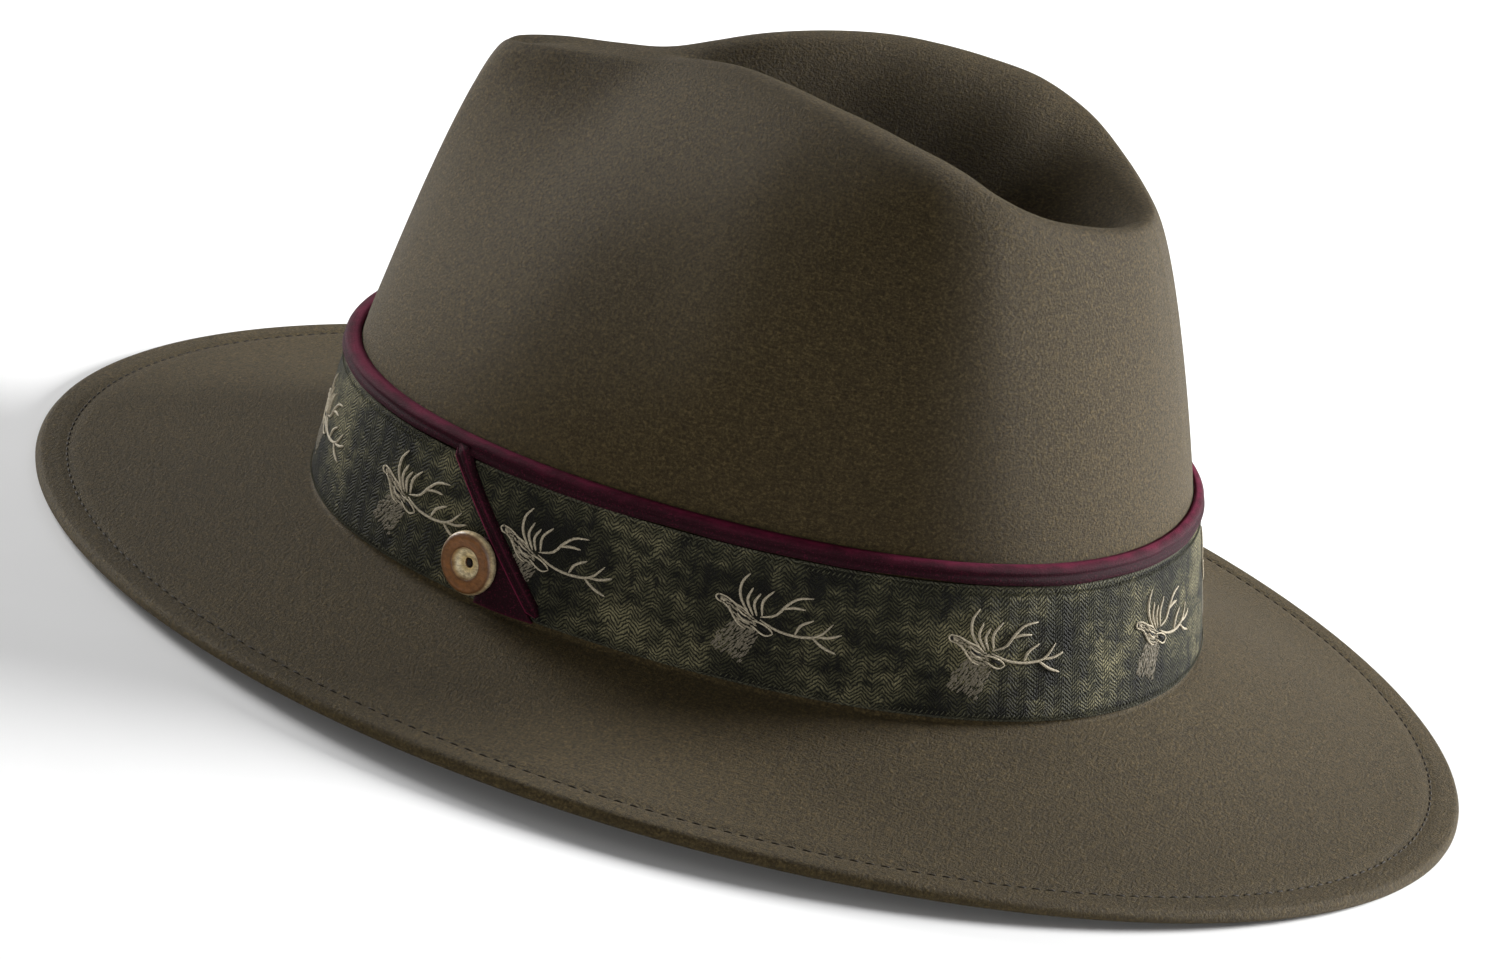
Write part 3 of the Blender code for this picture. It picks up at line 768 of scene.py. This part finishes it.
def make_piping():
    """The roll's section carried round the crown, its lower edge waved by a few sines."""
    out, across = roll_section(PIPING_HEIGHT, PIPING_THICKNESS)
    out, across = out[:, None], across[:, None]
    angles = full_angles()
    wave = sum(share * np.sin(count * angles + phase) for count, phase, share in PIPING_WAVES)
    low = np.clip(0.5 - across / PIPING_HEIGHT, 0, 1)
    half_round = np.minimum(angles, 2 * math.pi - angles)
    inset = round_the_hat(half_round, INSET_FRONT, INSET_SIDE, INSET_BACK)[:, 0]
    lean_in = inset * np.maximum(0, 1 - out / (PIPING_THICKNESS * PIPING_LEAN_REACH))
    middle = RIBBON_HEIGHT + GAP + PIPING_HEIGHT / 2
    rows = band_point(angles, middle + across - PIPING_WAVE * wave * low, GAP + out - lean_in)
    obj = new_piece("velvet_piping_roll", to_rest(rows),
                    grid_faces(len(rows), len(angles), True, True), velvet_material())
    # Painted shade on the piping's low side, rising to a painted highlight along its upper edge
    bright = np.minimum(np.linspace(0, 1, len(out)), PIPING_BRIGHTEST)[:, None]
    add_uv(obj, np.zeros(rows.shape[:2]), np.broadcast_to(bright, rows.shape[:2]))
    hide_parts("velvet_piping")


def edge_ends():
    """Middle of the turned-down velvet at the ribbon's two edges: behind and up."""
    top = np.array([-EDGE_TOP_AHEAD, RIBBON_HEIGHT - EDGE_WIDTH / 2])
    foot = np.array([EDGE_FOOT_BEHIND - EDGE_WIDTH / 2, EDGE_WIDTH / 2])
    return top, foot


def painted_ridge_highlight(side):
    """Painted highlight across the turned-down velvet: a bell curve on each of its two ridges,
    and a lift along its back half."""
    ridges = 0.80 * np.exp(-((np.abs(side) / EDGE_WIDTH - 0.30) / 0.12) ** 2)
    return ridges + 0.30 * (side > 0.2 * EDGE_WIDTH)


def make_edge():
    """The roll carried straight down across the ribbon from the piping, where it is
    wider to the front by a bell curve, and closed at both ends."""
    top, foot = edge_ends()
    along = foot - top
    across = np.array([along[1], -along[0]]) / np.linalg.norm(along)
    out, side = roll_section(EDGE_WIDTH, EDGE_THICKNESS)
    t = np.linspace(0, 1, EDGE_STEPS + 1)[:, None]
    ends = np.minimum(1, EDGE_END_SHARE + EDGE_END_GROWTH * np.minimum(t, 1 - t))
    flare = 1 + EDGE_FLARE * np.exp(-((t / EDGE_FLARE_REACH) ** 2)) * (side < 0)
    rise = (RIBBON_HEIGHT + GAP + PIPING_HEIGHT * EDGE_START_ON_PIPING - top[1]) / -along[1]
    middle = top + along * (t * (1 + rise) - rise)[..., None]
    flat = middle + across * (side * flare * ends)[..., None]
    proud = RIBBON_FACE + GAP * EDGE_SEAT + out * ends
    rows = band_point(angle_behind(flat[..., 0]), flat[..., 1], proud)
    obj = new_piece("velvet_edge_roll", to_rest(rows), tube_faces(len(t), len(side)),
                    velvet_material())
    # Painted highlight on the two ridges and along the back half of the turned-down velvet
    bright = np.broadcast_to(painted_ridge_highlight(side), rows.shape[:2])
    add_uv(obj, np.zeros(rows.shape[:2]), bright)
    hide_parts("velvet_edge")


def make_tab():
    """Velvet triangle: level rows from the ribbon's edge up to its blunt peak, bowed out by
    half a sine and given its wall by a modifier. Its two free sides get a painted highlight."""
    top, foot = edge_ends()
    slope = (foot[0] - top[0]) / (top[1] - foot[1])
    clear = (EDGE_WIDTH / 2) * math.hypot(1, slope)
    peak = top[1] - (TAB_SIDE_BEHIND + clear - top[0]) / slope
    shares = np.linspace(0, 1, TAB_COLUMNS + 1)
    height = np.linspace(0, peak * TAB_BLUNT_PEAK, TAB_ROWS + 1)[:, None]
    far_side = top[0] + (top[1] - height) * slope - clear
    behind = TAB_SIDE_BEHIND + (far_side - TAB_SIDE_BEHIND) * shares
    swell = TAB_SWELL * np.sin(shares * math.pi)
    rows = band_point(angle_behind(behind), height, RIBBON_FACE + swell)
    obj = new_piece("velvet_tab_cloth", to_rest(rows), grid_faces(*rows.shape[:2]),
                    velvet_material())
    # Painted highlight along the tab's far side and its lower edge, over a dim ground
    far_rim = 0.5 * np.exp(-((1 - shares) / 0.05) ** 2)
    low_rim = 0.7 * np.exp(-(np.arange(len(rows)) / 1.6) ** 2)[:, None]
    rim = np.maximum(far_rim, low_rim) + 0.18
    add_uv(obj, np.zeros_like(rim), rim)
    wall = obj.modifiers.new("velvet", "SOLIDIFY")
    wall.thickness = TAB_THICKNESS
    wall.offset = 1
    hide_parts("velvet_tab")


def button_profile():
    """Radius and height from the hole out over the dished cup, the face, the rim and the
    back, smoothly through the named points, with the number of the point reached."""
    outer = BUTTON_DIAMETER / 2
    cup = BUTTON_CUP_DIAMETER / 2
    hole = BUTTON_HOLE_DIAMETER / 2 * BUTTON_HOLE_WIDENING
    top = BUTTON_THICKNESS
    knots = [(hole, top - BUTTON_CUP_DEPTH)]
    knots += [(cup * share, top - BUTTON_CUP_DEPTH * depth) for share, depth in BUTTON_FACE]
    knots += [(outer - top * inset, top * height) for inset, height in BUTTON_RIM]
    knots = np.array(knots + [(outer / 2, 0.0), (hole, 0.0)])
    places = np.arange(len(knots))
    wanted = np.linspace(0, len(knots) - 1, BUTTON_ROWS + 1)
    return np.stack([smooth_through(places, knots[:, k], wanted) for k in range(2)], -1), wanted


def button_frame():
    """The button's turn, its axis square to the ribbon, and its place over the tab."""
    face = RIBBON_FACE + GAP + TAB_THICKNESS + GAP
    place = Vector(to_rest(band_point(BUTTON_ANGLE, BUTTON_HEIGHT, face)))
    inner = Vector(to_rest(band_point(BUTTON_ANGLE, BUTTON_HEIGHT, 0)))
    turn = (place - inner).to_track_quat("Z", "Y").to_matrix()
    return np.array(turn), np.array(place)


def make_button():
    """The profile turned round the button's own axis, and dark thread in its hole."""
    profile, reached = button_profile()
    turn, place = button_frame()
    around = np.linspace(0, 2 * math.pi, BUTTON_SIDES, endpoint=False)
    radius, height, around = np.broadcast_arrays(profile[:, :1], profile[:, 1:], around)
    local = np.stack([radius * np.cos(around), radius * np.sin(around), height], -1)
    obj = new_piece("horn_button", local @ turn.T + place,
                    grid_faces(len(profile), BUTTON_SIDES, True, True), horn_material())
    u = np.broadcast_to(reached[:, None] / reached[-1], around.shape)
    add_uv(obj, u, np.abs(around / math.pi - 1))
    turn_outward(obj)
    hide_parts("button")
    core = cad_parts["button_thread"].data
    core.materials.clear()
    core.materials.append(thread_material("hole_thread", (0.015, 0.010, 0.008)))


class Nodes:
    """Short calls for building one material's node tree."""

    def __init__(self, name):
        self.material = bpy.data.materials.new(name)
        self.material.use_nodes = True
        self.tree = self.material.node_tree
        self.shader = self.tree.nodes["Principled BSDF"]

    def feed(self, socket, value):
        """Links an output to a socket, or sets the socket to a plain value."""
        if hasattr(value, "is_linked"):
            self.tree.links.new(value, socket)
        else:
            socket.default_value = value

    def add(self, kind, **inputs):
        """A node of one kind, its inputs named with underscores for spaces."""
        node = self.tree.nodes.new(kind)
        for name, value in inputs.items():
            self.feed(node.inputs[name.replace("_", " ")], value)
        return node

    def math(self, operation, first, second=0.0, third=0.0):
        node = self.tree.nodes.new("ShaderNodeMath")
        node.operation = operation
        for socket, value in zip(node.inputs, (first, second, third)):
            self.feed(socket, value)
        return node.outputs[0]

    def noise(self, vector, scale, detail, roughness):
        node = self.add("ShaderNodeTexNoise", Vector=vector, Scale=scale, Detail=detail,
                        Roughness=roughness)
        return node.outputs["Fac"]

    def stretched(self, vector, scale, turn=(0, 0, 0)):
        node = self.add("ShaderNodeMapping", Vector=vector, Scale=scale, Rotation=turn)
        return node.outputs["Vector"]

    def ramp(self, factor, stops):
        """Colours at places from 0 to 1, blended evenly between them."""
        node = self.add("ShaderNodeValToRGB", Fac=factor)
        while len(node.color_ramp.elements) < len(stops):
            node.color_ramp.elements.new(0.5)
        for element, (place, color) in zip(node.color_ramp.elements, stops):
            element.position = place
            element.color = (*color, 1)
        return node.outputs["Color"]

    def mix(self, factor, first, second):
        """The first colour, turning into the second as the factor goes to 1."""
        node = self.tree.nodes.new("ShaderNodeMix")
        node.data_type = "RGBA"
        self.feed(node.inputs[0], factor)
        for socket, color in zip(node.inputs[6:8], (first, second)):
            self.feed(socket, (*color, 1) if isinstance(color, tuple) else color)
        return node.outputs[2]

    def bump(self, height, distance, strength):
        node = self.add("ShaderNodeBump", Height=height, Distance=distance, Strength=strength)
        return node.outputs["Normal"]

    def uv(self):
        """The two numbers of the piece's own UV map, and both as one vector."""
        vector = self.add("ShaderNodeUVMap").outputs["UV"]
        parts = self.add("ShaderNodeSeparateXYZ", Vector=vector).outputs
        return parts["X"], parts["Y"], vector

    def place(self):
        """Object coordinates, in metres."""
        return self.add("ShaderNodeTexCoord").outputs["Object"]

    def connect(self, output, socket):
        self.tree.links.new(output, self.shader.inputs[socket])


def shade(color, factor):
    """A colour made lighter or darker by a factor, 1 at most in each number."""
    return tuple(float(min(1.0, c * factor)) for c in color)


def felt_material():
    """Wool felt: short crossing hairs, light over dark, on a faint large mottling."""
    n = Nodes("olive_felt_nap")
    place = n.place()
    hairs = n.noise(n.stretched(place, (1.0, 3.4, 3.4), (0.5, 0.4, 0.7)), 640.0, 5.0, 0.72)
    crossing = n.noise(n.stretched(place, (3.0, 1.0, 3.0), (0.9, 0.2, 1.6)), 640.0, 5.0, 0.72)
    grain = n.noise(place, 1400.0, 2.0, 0.6)
    mottle = n.noise(place, 14.0, 2.0, 0.5)
    nap = n.math("ADD", n.math("MULTIPLY", hairs, 0.5), n.math("MULTIPLY", crossing, 0.5))
    height = n.math("ADD", n.math("MULTIPLY", nap, 0.7), n.math("MULTIPLY", grain, 0.3))
    tone = n.math("MULTIPLY_ADD", n.math("SUBTRACT", mottle, 0.5), 0.07, height)
    base = settings().felt_color
    color = n.ramp(tone, ((0.38, shade(base, 0.30)), (0.47, shade(base, 0.72)),
                          (0.54, shade(base, 1.30)), (0.63, shade(base, 2.6))))
    n.connect(color, "Base Color")
    n.shader.inputs["Roughness"].default_value = 0.72
    n.shader.inputs["Specular IOR Level"].default_value = 0.28
    n.shader.inputs["Specular Tint"].default_value = (1.0, 0.88, 0.70, 1)
    n.shader.inputs["Sheen Weight"].default_value = 0.04
    n.shader.inputs["Sheen Roughness"].default_value = 0.4
    n.shader.inputs["Sheen Tint"].default_value = (0.80, 0.68, 0.46, 1)
    n.connect(n.bump(height, 0.0014, 1.0), "Normal")
    return n.material


def ribbon_material():
    """Herringbone ribbon: slanting ribs that turn back at every stripe, broken by uneven
    yarn, under leafy light patches and dark blotches. UV is metres of ribbon."""
    n = Nodes("camouflage_ribbon")
    u, v, uv = n.uv()
    slant = n.math("ADD", n.math("MULTIPLY", n.math("PINGPONG", u, HERRINGBONE_WIDTH), RIB_LEAN), v)
    slant = n.math("MULTIPLY_ADD", n.noise(uv, 330.0, 3.0, 0.6), 0.0024, slant)
    rib_wave = n.math("SINE", n.math("MULTIPLY", slant, 2 * math.pi / RIB_PITCH))
    pick_wave = n.math("SINE", n.math("MULTIPLY", u, 2 * math.pi / PICK_PITCH))
    ribs = n.math("MULTIPLY_ADD", rib_wave, 0.5, 0.5)
    picks = n.math("MULTIPLY_ADD", pick_wave, 0.25, 0.75)
    yarn = n.noise(n.stretched(uv, (1.0, 0.6, 1.0)), 1150.0, 3.0, 0.75)
    weave = n.math("MULTIPLY", n.math("MULTIPLY", ribs, picks), n.math("ADD", yarn, 0.35))

    shifted = n.add("ShaderNodeMapping", Vector=uv, Location=(0.045, 0, 0)).outputs["Vector"]
    blotch = n.noise(n.stretched(shifted, (1.0, 1.25, 1.0), (0, 0, 0.6)), 30.0, 5.0, 0.65)
    leaves = n.noise(n.stretched(shifted, (1.0, 2.2, 1.0), (0, 0, -0.7)), 190.0, 4.0, 0.7)
    patch = n.math("ADD", n.math("MULTIPLY", blotch, 0.7), n.math("MULTIPLY", leaves, 0.3))
    base = settings().ribbon_color
    ground = n.ramp(patch, ((0.42, shade(base, 0.15)), (0.48, shade(base, 0.42)),
                            (0.54, shade(base, 1.0)), (0.62, shade(base, 1.6))))
    light = n.ramp(patch, ((0.42, shade(base, 0.65)), (0.50, (0.060, 0.058, 0.032)),
                           (0.60, (0.24, 0.215, 0.118))))
    raised = n.math("SMOOTH_MIN", n.math("MULTIPLY", weave, 1.55), 1.0, 0.1)
    cloth = n.mix(raised, ground, light)
    # Painted shade in the gaps between the ribs and picks
    between = n.math("MULTIPLY", n.math("LESS_THAN", weave, 0.10), 0.8)
    cloth = n.mix(between, cloth, (0.006, 0.006, 0.005))

    twigs = n.noise(n.stretched(uv, (2.6, 1.0, 1.0), (0, 0, 0.5)), 120.0, 5.0, 0.75)
    inked = n.ramp(n.math("MULTIPLY_ADD", patch, -0.6, twigs),
                   ((0.23, (0, 0, 0)), (0.31, (1, 1, 1))))
    cloth = n.mix(n.math("MULTIPLY", inked, 0.75), cloth, (0.007, 0.007, 0.006))
    from_edge = n.math("MINIMUM", v, n.math("SUBTRACT", RIBBON_HEIGHT, v))
    border = n.math("MULTIPLY", n.math("LESS_THAN", from_edge, 0.0005), 0.55)
    n.connect(n.mix(border, cloth, (0.10, 0.098, 0.066)), "Base Color")
    n.shader.inputs["Roughness"].default_value = 0.75
    n.shader.inputs["Specular IOR Level"].default_value = 0.14
    n.shader.inputs["Sheen Weight"].default_value = 0.01
    n.connect(n.bump(weave, 0.0005, 0.9), "Normal")
    return n.material


def velvet_material():
    """Velvet: dense dark pile, with painted shade where UV's second number is low and a painted
    highlight line where it nears 1.
    """
    found = bpy.data.materials.get("bordeaux_pile")
    if found:
        return found
    n = Nodes("bordeaux_pile")
    place = n.place()
    pile = n.noise(place, 2400.0, 2.0, 0.6)
    highlight_wobble = n.noise(place, 150.0, 3.0, 0.6)
    base = settings().velvet_color
    # Painted shade where UV's second number is low, rising to a painted highlight line near 1, made
    # uneven by noise
    tone = n.math("MULTIPLY_ADD", n.math("SUBTRACT", highlight_wobble, 0.5), 0.5, n.uv()[1])
    line = n.ramp(tone, ((0.00, shade(base, 0.28)), (0.62, shade(base, 0.50)),
                         (0.82, shade(base, 1.4)), (0.96, shade(base, 3.6))))
    speck = n.math("MULTIPLY", n.math("GREATER_THAN", pile, 0.60), 0.35)
    n.connect(n.mix(speck, line, shade(base, 3.2)), "Base Color")
    n.shader.inputs["Roughness"].default_value = 0.8
    n.shader.inputs["Specular IOR Level"].default_value = 0.15
    n.shader.inputs["Sheen Weight"].default_value = 0.06
    n.shader.inputs["Sheen Roughness"].default_value = 0.3
    n.shader.inputs["Sheen Tint"].default_value = (0.80, 0.12, 0.30, 1)
    n.connect(n.bump(pile, 0.0004, 0.7), "Normal")
    return n.material


def thread_material(name, color, sheen=0.04):
    """Spun thread: fine twist as noise along it."""
    n = Nodes(name)
    twist = n.noise(n.place(), 1900.0, 2.0, 0.6)
    n.connect(n.ramp(twist, ((0.3, shade(color, 0.62)), (0.7, shade(color, 1.2)))), "Base Color")
    n.shader.inputs["Roughness"].default_value = 0.65
    n.shader.inputs["Specular IOR Level"].default_value = 0.2
    n.shader.inputs["Sheen Weight"].default_value = sheen
    n.connect(n.bump(twist, 0.0002, 0.5), "Normal")
    return n.material


def horn_material():
    """Horn: cream cup and rim, mottled brown face with a dark line at its edges. UV's first
    number runs over the profile from the hole outward."""
    n = Nodes("dished_horn")
    place = n.place()
    cloud = n.noise(place, 330.0, 4.0, 0.7)
    reached = n.math("MULTIPLY_ADD", n.math("SUBTRACT", cloud, 0.5), 0.09, n.uv()[0])
    brown = settings().horn_color
    cream = (0.80, 0.68, 0.42)
    zones = n.ramp(reached, (
        (0.00, (0.70, 0.52, 0.22)), (0.13, cream), (0.235, (0.36, 0.20, 0.075)),
        (0.27, shade(brown, 0.45)), (0.36, shade(brown, 1.1)), (0.47, brown),
        (0.535, shade(brown, 0.5)), (0.60, (0.62, 0.47, 0.26)), (0.68, cream),
        (1.0, (0.50, 0.37, 0.20))))
    streaks = n.noise(n.stretched(place, (1.0, 1.0, 2.0)), 480.0, 5.0, 0.8)
    spots = n.ramp(streaks, ((0.40, (0, 0, 0)), (0.60, (1, 1, 1))))
    dark = shade(brown, 0.30)
    n.connect(n.mix(n.math("MULTIPLY", spots, 0.62), zones, dark), "Base Color")
    n.shader.inputs["Roughness"].default_value = 0.36
    n.connect(n.bump(n.math("ADD", cloud, streaks), 0.0003, 0.5), "Normal")
    return n.material


def floor_material():
    """Matt paper, nearly white."""
    n = Nodes("pale_floor")
    grain = n.noise(n.place(), 30.0, 2.0, 0.5)
    n.connect(n.ramp(grain, ((0.0, (0.86, 0.86, 0.86)), (1.0, (0.90, 0.90, 0.90)))), "Base Color")
    n.shader.inputs["Roughness"].default_value = 0.9
    return n.material


def area_light(name, place, size, power):
    """A round soft light that looks at the hat."""
    data = bpy.data.lights.new(name, "AREA")
    data.shape = "DISK"
    data.size = size
    data.energy = power
    obj = new_object(name, data)
    obj.location = place
    way = Vector(LIGHT_TARGET) - Vector(place)
    obj.rotation_euler = way.to_track_quat("-Z", "Y").to_euler()


def make_camera():
    """Camera at the photograph's angle to the hat, turned with the way the hat rests."""
    level = np.array([math.cos(CAMERA_AZIMUTH), math.sin(CAMERA_AZIMUTH), 0])
    outward = np.array([math.sin(CAMERA_AZIMUTH), -math.cos(CAMERA_AZIMUTH), 0])
    back = outward * math.cos(CAMERA_ELEVATION)
    back[2] = math.sin(CAMERA_ELEVATION)
    right = level * math.cos(CAMERA_ROLL) + np.cross(back, level) * math.sin(CAMERA_ROLL)
    up = np.cross(back, right)
    axes = turn_matrix() @ np.stack([right, up, back], -1)
    data = bpy.data.cameras.new("camera")
    data.sensor_width = SENSOR_WIDTH
    data.lens = FOCAL_PIXELS / FRAME_WIDTH * SENSOR_WIDTH
    obj = new_object("camera", data)
    matrix = Matrix(axes.tolist()).to_4x4()
    matrix.translation = Vector(to_rest(np.array(CAMERA_TARGET) + back * CAMERA_DISTANCE))
    obj.matrix_world = matrix
    bpy.context.scene.camera = obj


def make_floor():
    """One wide level square, a hair under the hat."""
    mesh = bpy.data.meshes.new("studio_floor")
    corners = [(-1, -1), (1, -1), (1, 1), (-1, 1)]
    mesh.from_pydata([(x * FLOOR_HALF, y * FLOOR_HALF, -FLOOR_DROP) for x, y in corners], [],
                     [(0, 1, 2, 3)])
    mesh.materials.append(floor_material())
    new_object("studio_floor", mesh)


def make_studio():
    """Floor, lights, world and camera."""
    make_floor()
    power = settings().light_power
    for name, place, size, share in LIGHTS:
        area_light(name, place, size, power * share)
    world = bpy.data.worlds.new("studio_world")
    world.use_nodes = True
    background = world.node_tree.nodes["Background"]
    background.inputs["Color"].default_value = (1, 1, 1, 1)
    background.inputs["Strength"].default_value = WORLD_STRENGTH
    bpy.context.scene.world = world
    bpy.context.scene.view_settings.view_transform = "Standard"
    make_camera()


class HAT_OT_felt(bpy.types.Operator):
    """Makes the felt crown and brim."""

    bl_idname = "hat.felt"
    bl_label = "Felt body"

    def execute(self, context):
        make_felt()
        return {"FINISHED"}


class HAT_OT_stitches(bpy.types.Operator):
    """Makes the stitches of the hem's seam."""

    bl_idname = "hat.stitches"
    bl_label = "Hem stitches"

    def execute(self, context):
        make_stitches()
        return {"FINISHED"}


class HAT_OT_ribbon(bpy.types.Operator):
    """Makes the woven ribbon and its edge stitches."""

    bl_idname = "hat.ribbon"
    bl_label = "Ribbon"

    def execute(self, context):
        make_ribbon()
        make_selvedge()
        return {"FINISHED"}


class HAT_OT_stags(bpy.types.Operator):
    """Makes the ribbon's stag heads."""

    bl_idname = "hat.stags"
    bl_label = "Stag heads"

    def execute(self, context):
        make_stags()
        return {"FINISHED"}


class HAT_OT_velvet(bpy.types.Operator):
    """Makes the velvet roll, the turned-down edge and the tab."""

    bl_idname = "hat.velvet"
    bl_label = "Velvet trim"

    def execute(self, context):
        make_piping()
        make_edge()
        make_tab()
        return {"FINISHED"}


class HAT_OT_button(bpy.types.Operator):
    """Makes the horn button and finishes the thread in its hole."""

    bl_idname = "hat.button"
    bl_label = "Horn button"

    def execute(self, context):
        make_button()
        return {"FINISHED"}


class HAT_OT_studio(bpy.types.Operator):
    """Makes the floor, the lights and the camera."""

    bl_idname = "hat.studio"
    bl_label = "Studio"

    def execute(self, context):
        make_studio()
        return {"FINISHED"}


OPERATORS = (HAT_OT_felt, HAT_OT_stitches, HAT_OT_ribbon, HAT_OT_stags, HAT_OT_velvet,
             HAT_OT_button, HAT_OT_studio)


class HAT_PT_panel(bpy.types.Panel):
    """Lists the hat's settings and its makers."""

    bl_idname = "HAT_PT_panel"
    bl_label = "Hunting hat"
    bl_space_type = "VIEW_3D"
    bl_region_type = "UI"
    bl_category = "Hat"

    def draw(self, context):
        for name in HatSettings.__annotations__:
            self.layout.prop(context.scene.hat_settings, name)
        for operator in OPERATORS:
            self.layout.operator(operator.bl_idname)


CLASSES = (HatSettings, *OPERATORS, HAT_PT_panel)


def register():
    for cls in CLASSES:
        bpy.utils.register_class(cls)
    bpy.types.Scene.hat_settings = bpy.props.PointerProperty(type=HatSettings)


def unregister():
    del bpy.types.Scene.hat_settings
    for cls in reversed(CLASSES):
        bpy.utils.unregister_class(cls)


def main():
    """Registers the add-on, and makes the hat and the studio."""
    register()
    bpy.ops.hat.felt()
    bpy.ops.hat.stitches()
    bpy.ops.hat.ribbon()
    bpy.ops.hat.stags()
    bpy.ops.hat.velvet()
    bpy.ops.hat.button()
    bpy.ops.hat.studio()


if __name__ == "__main__":
    main()
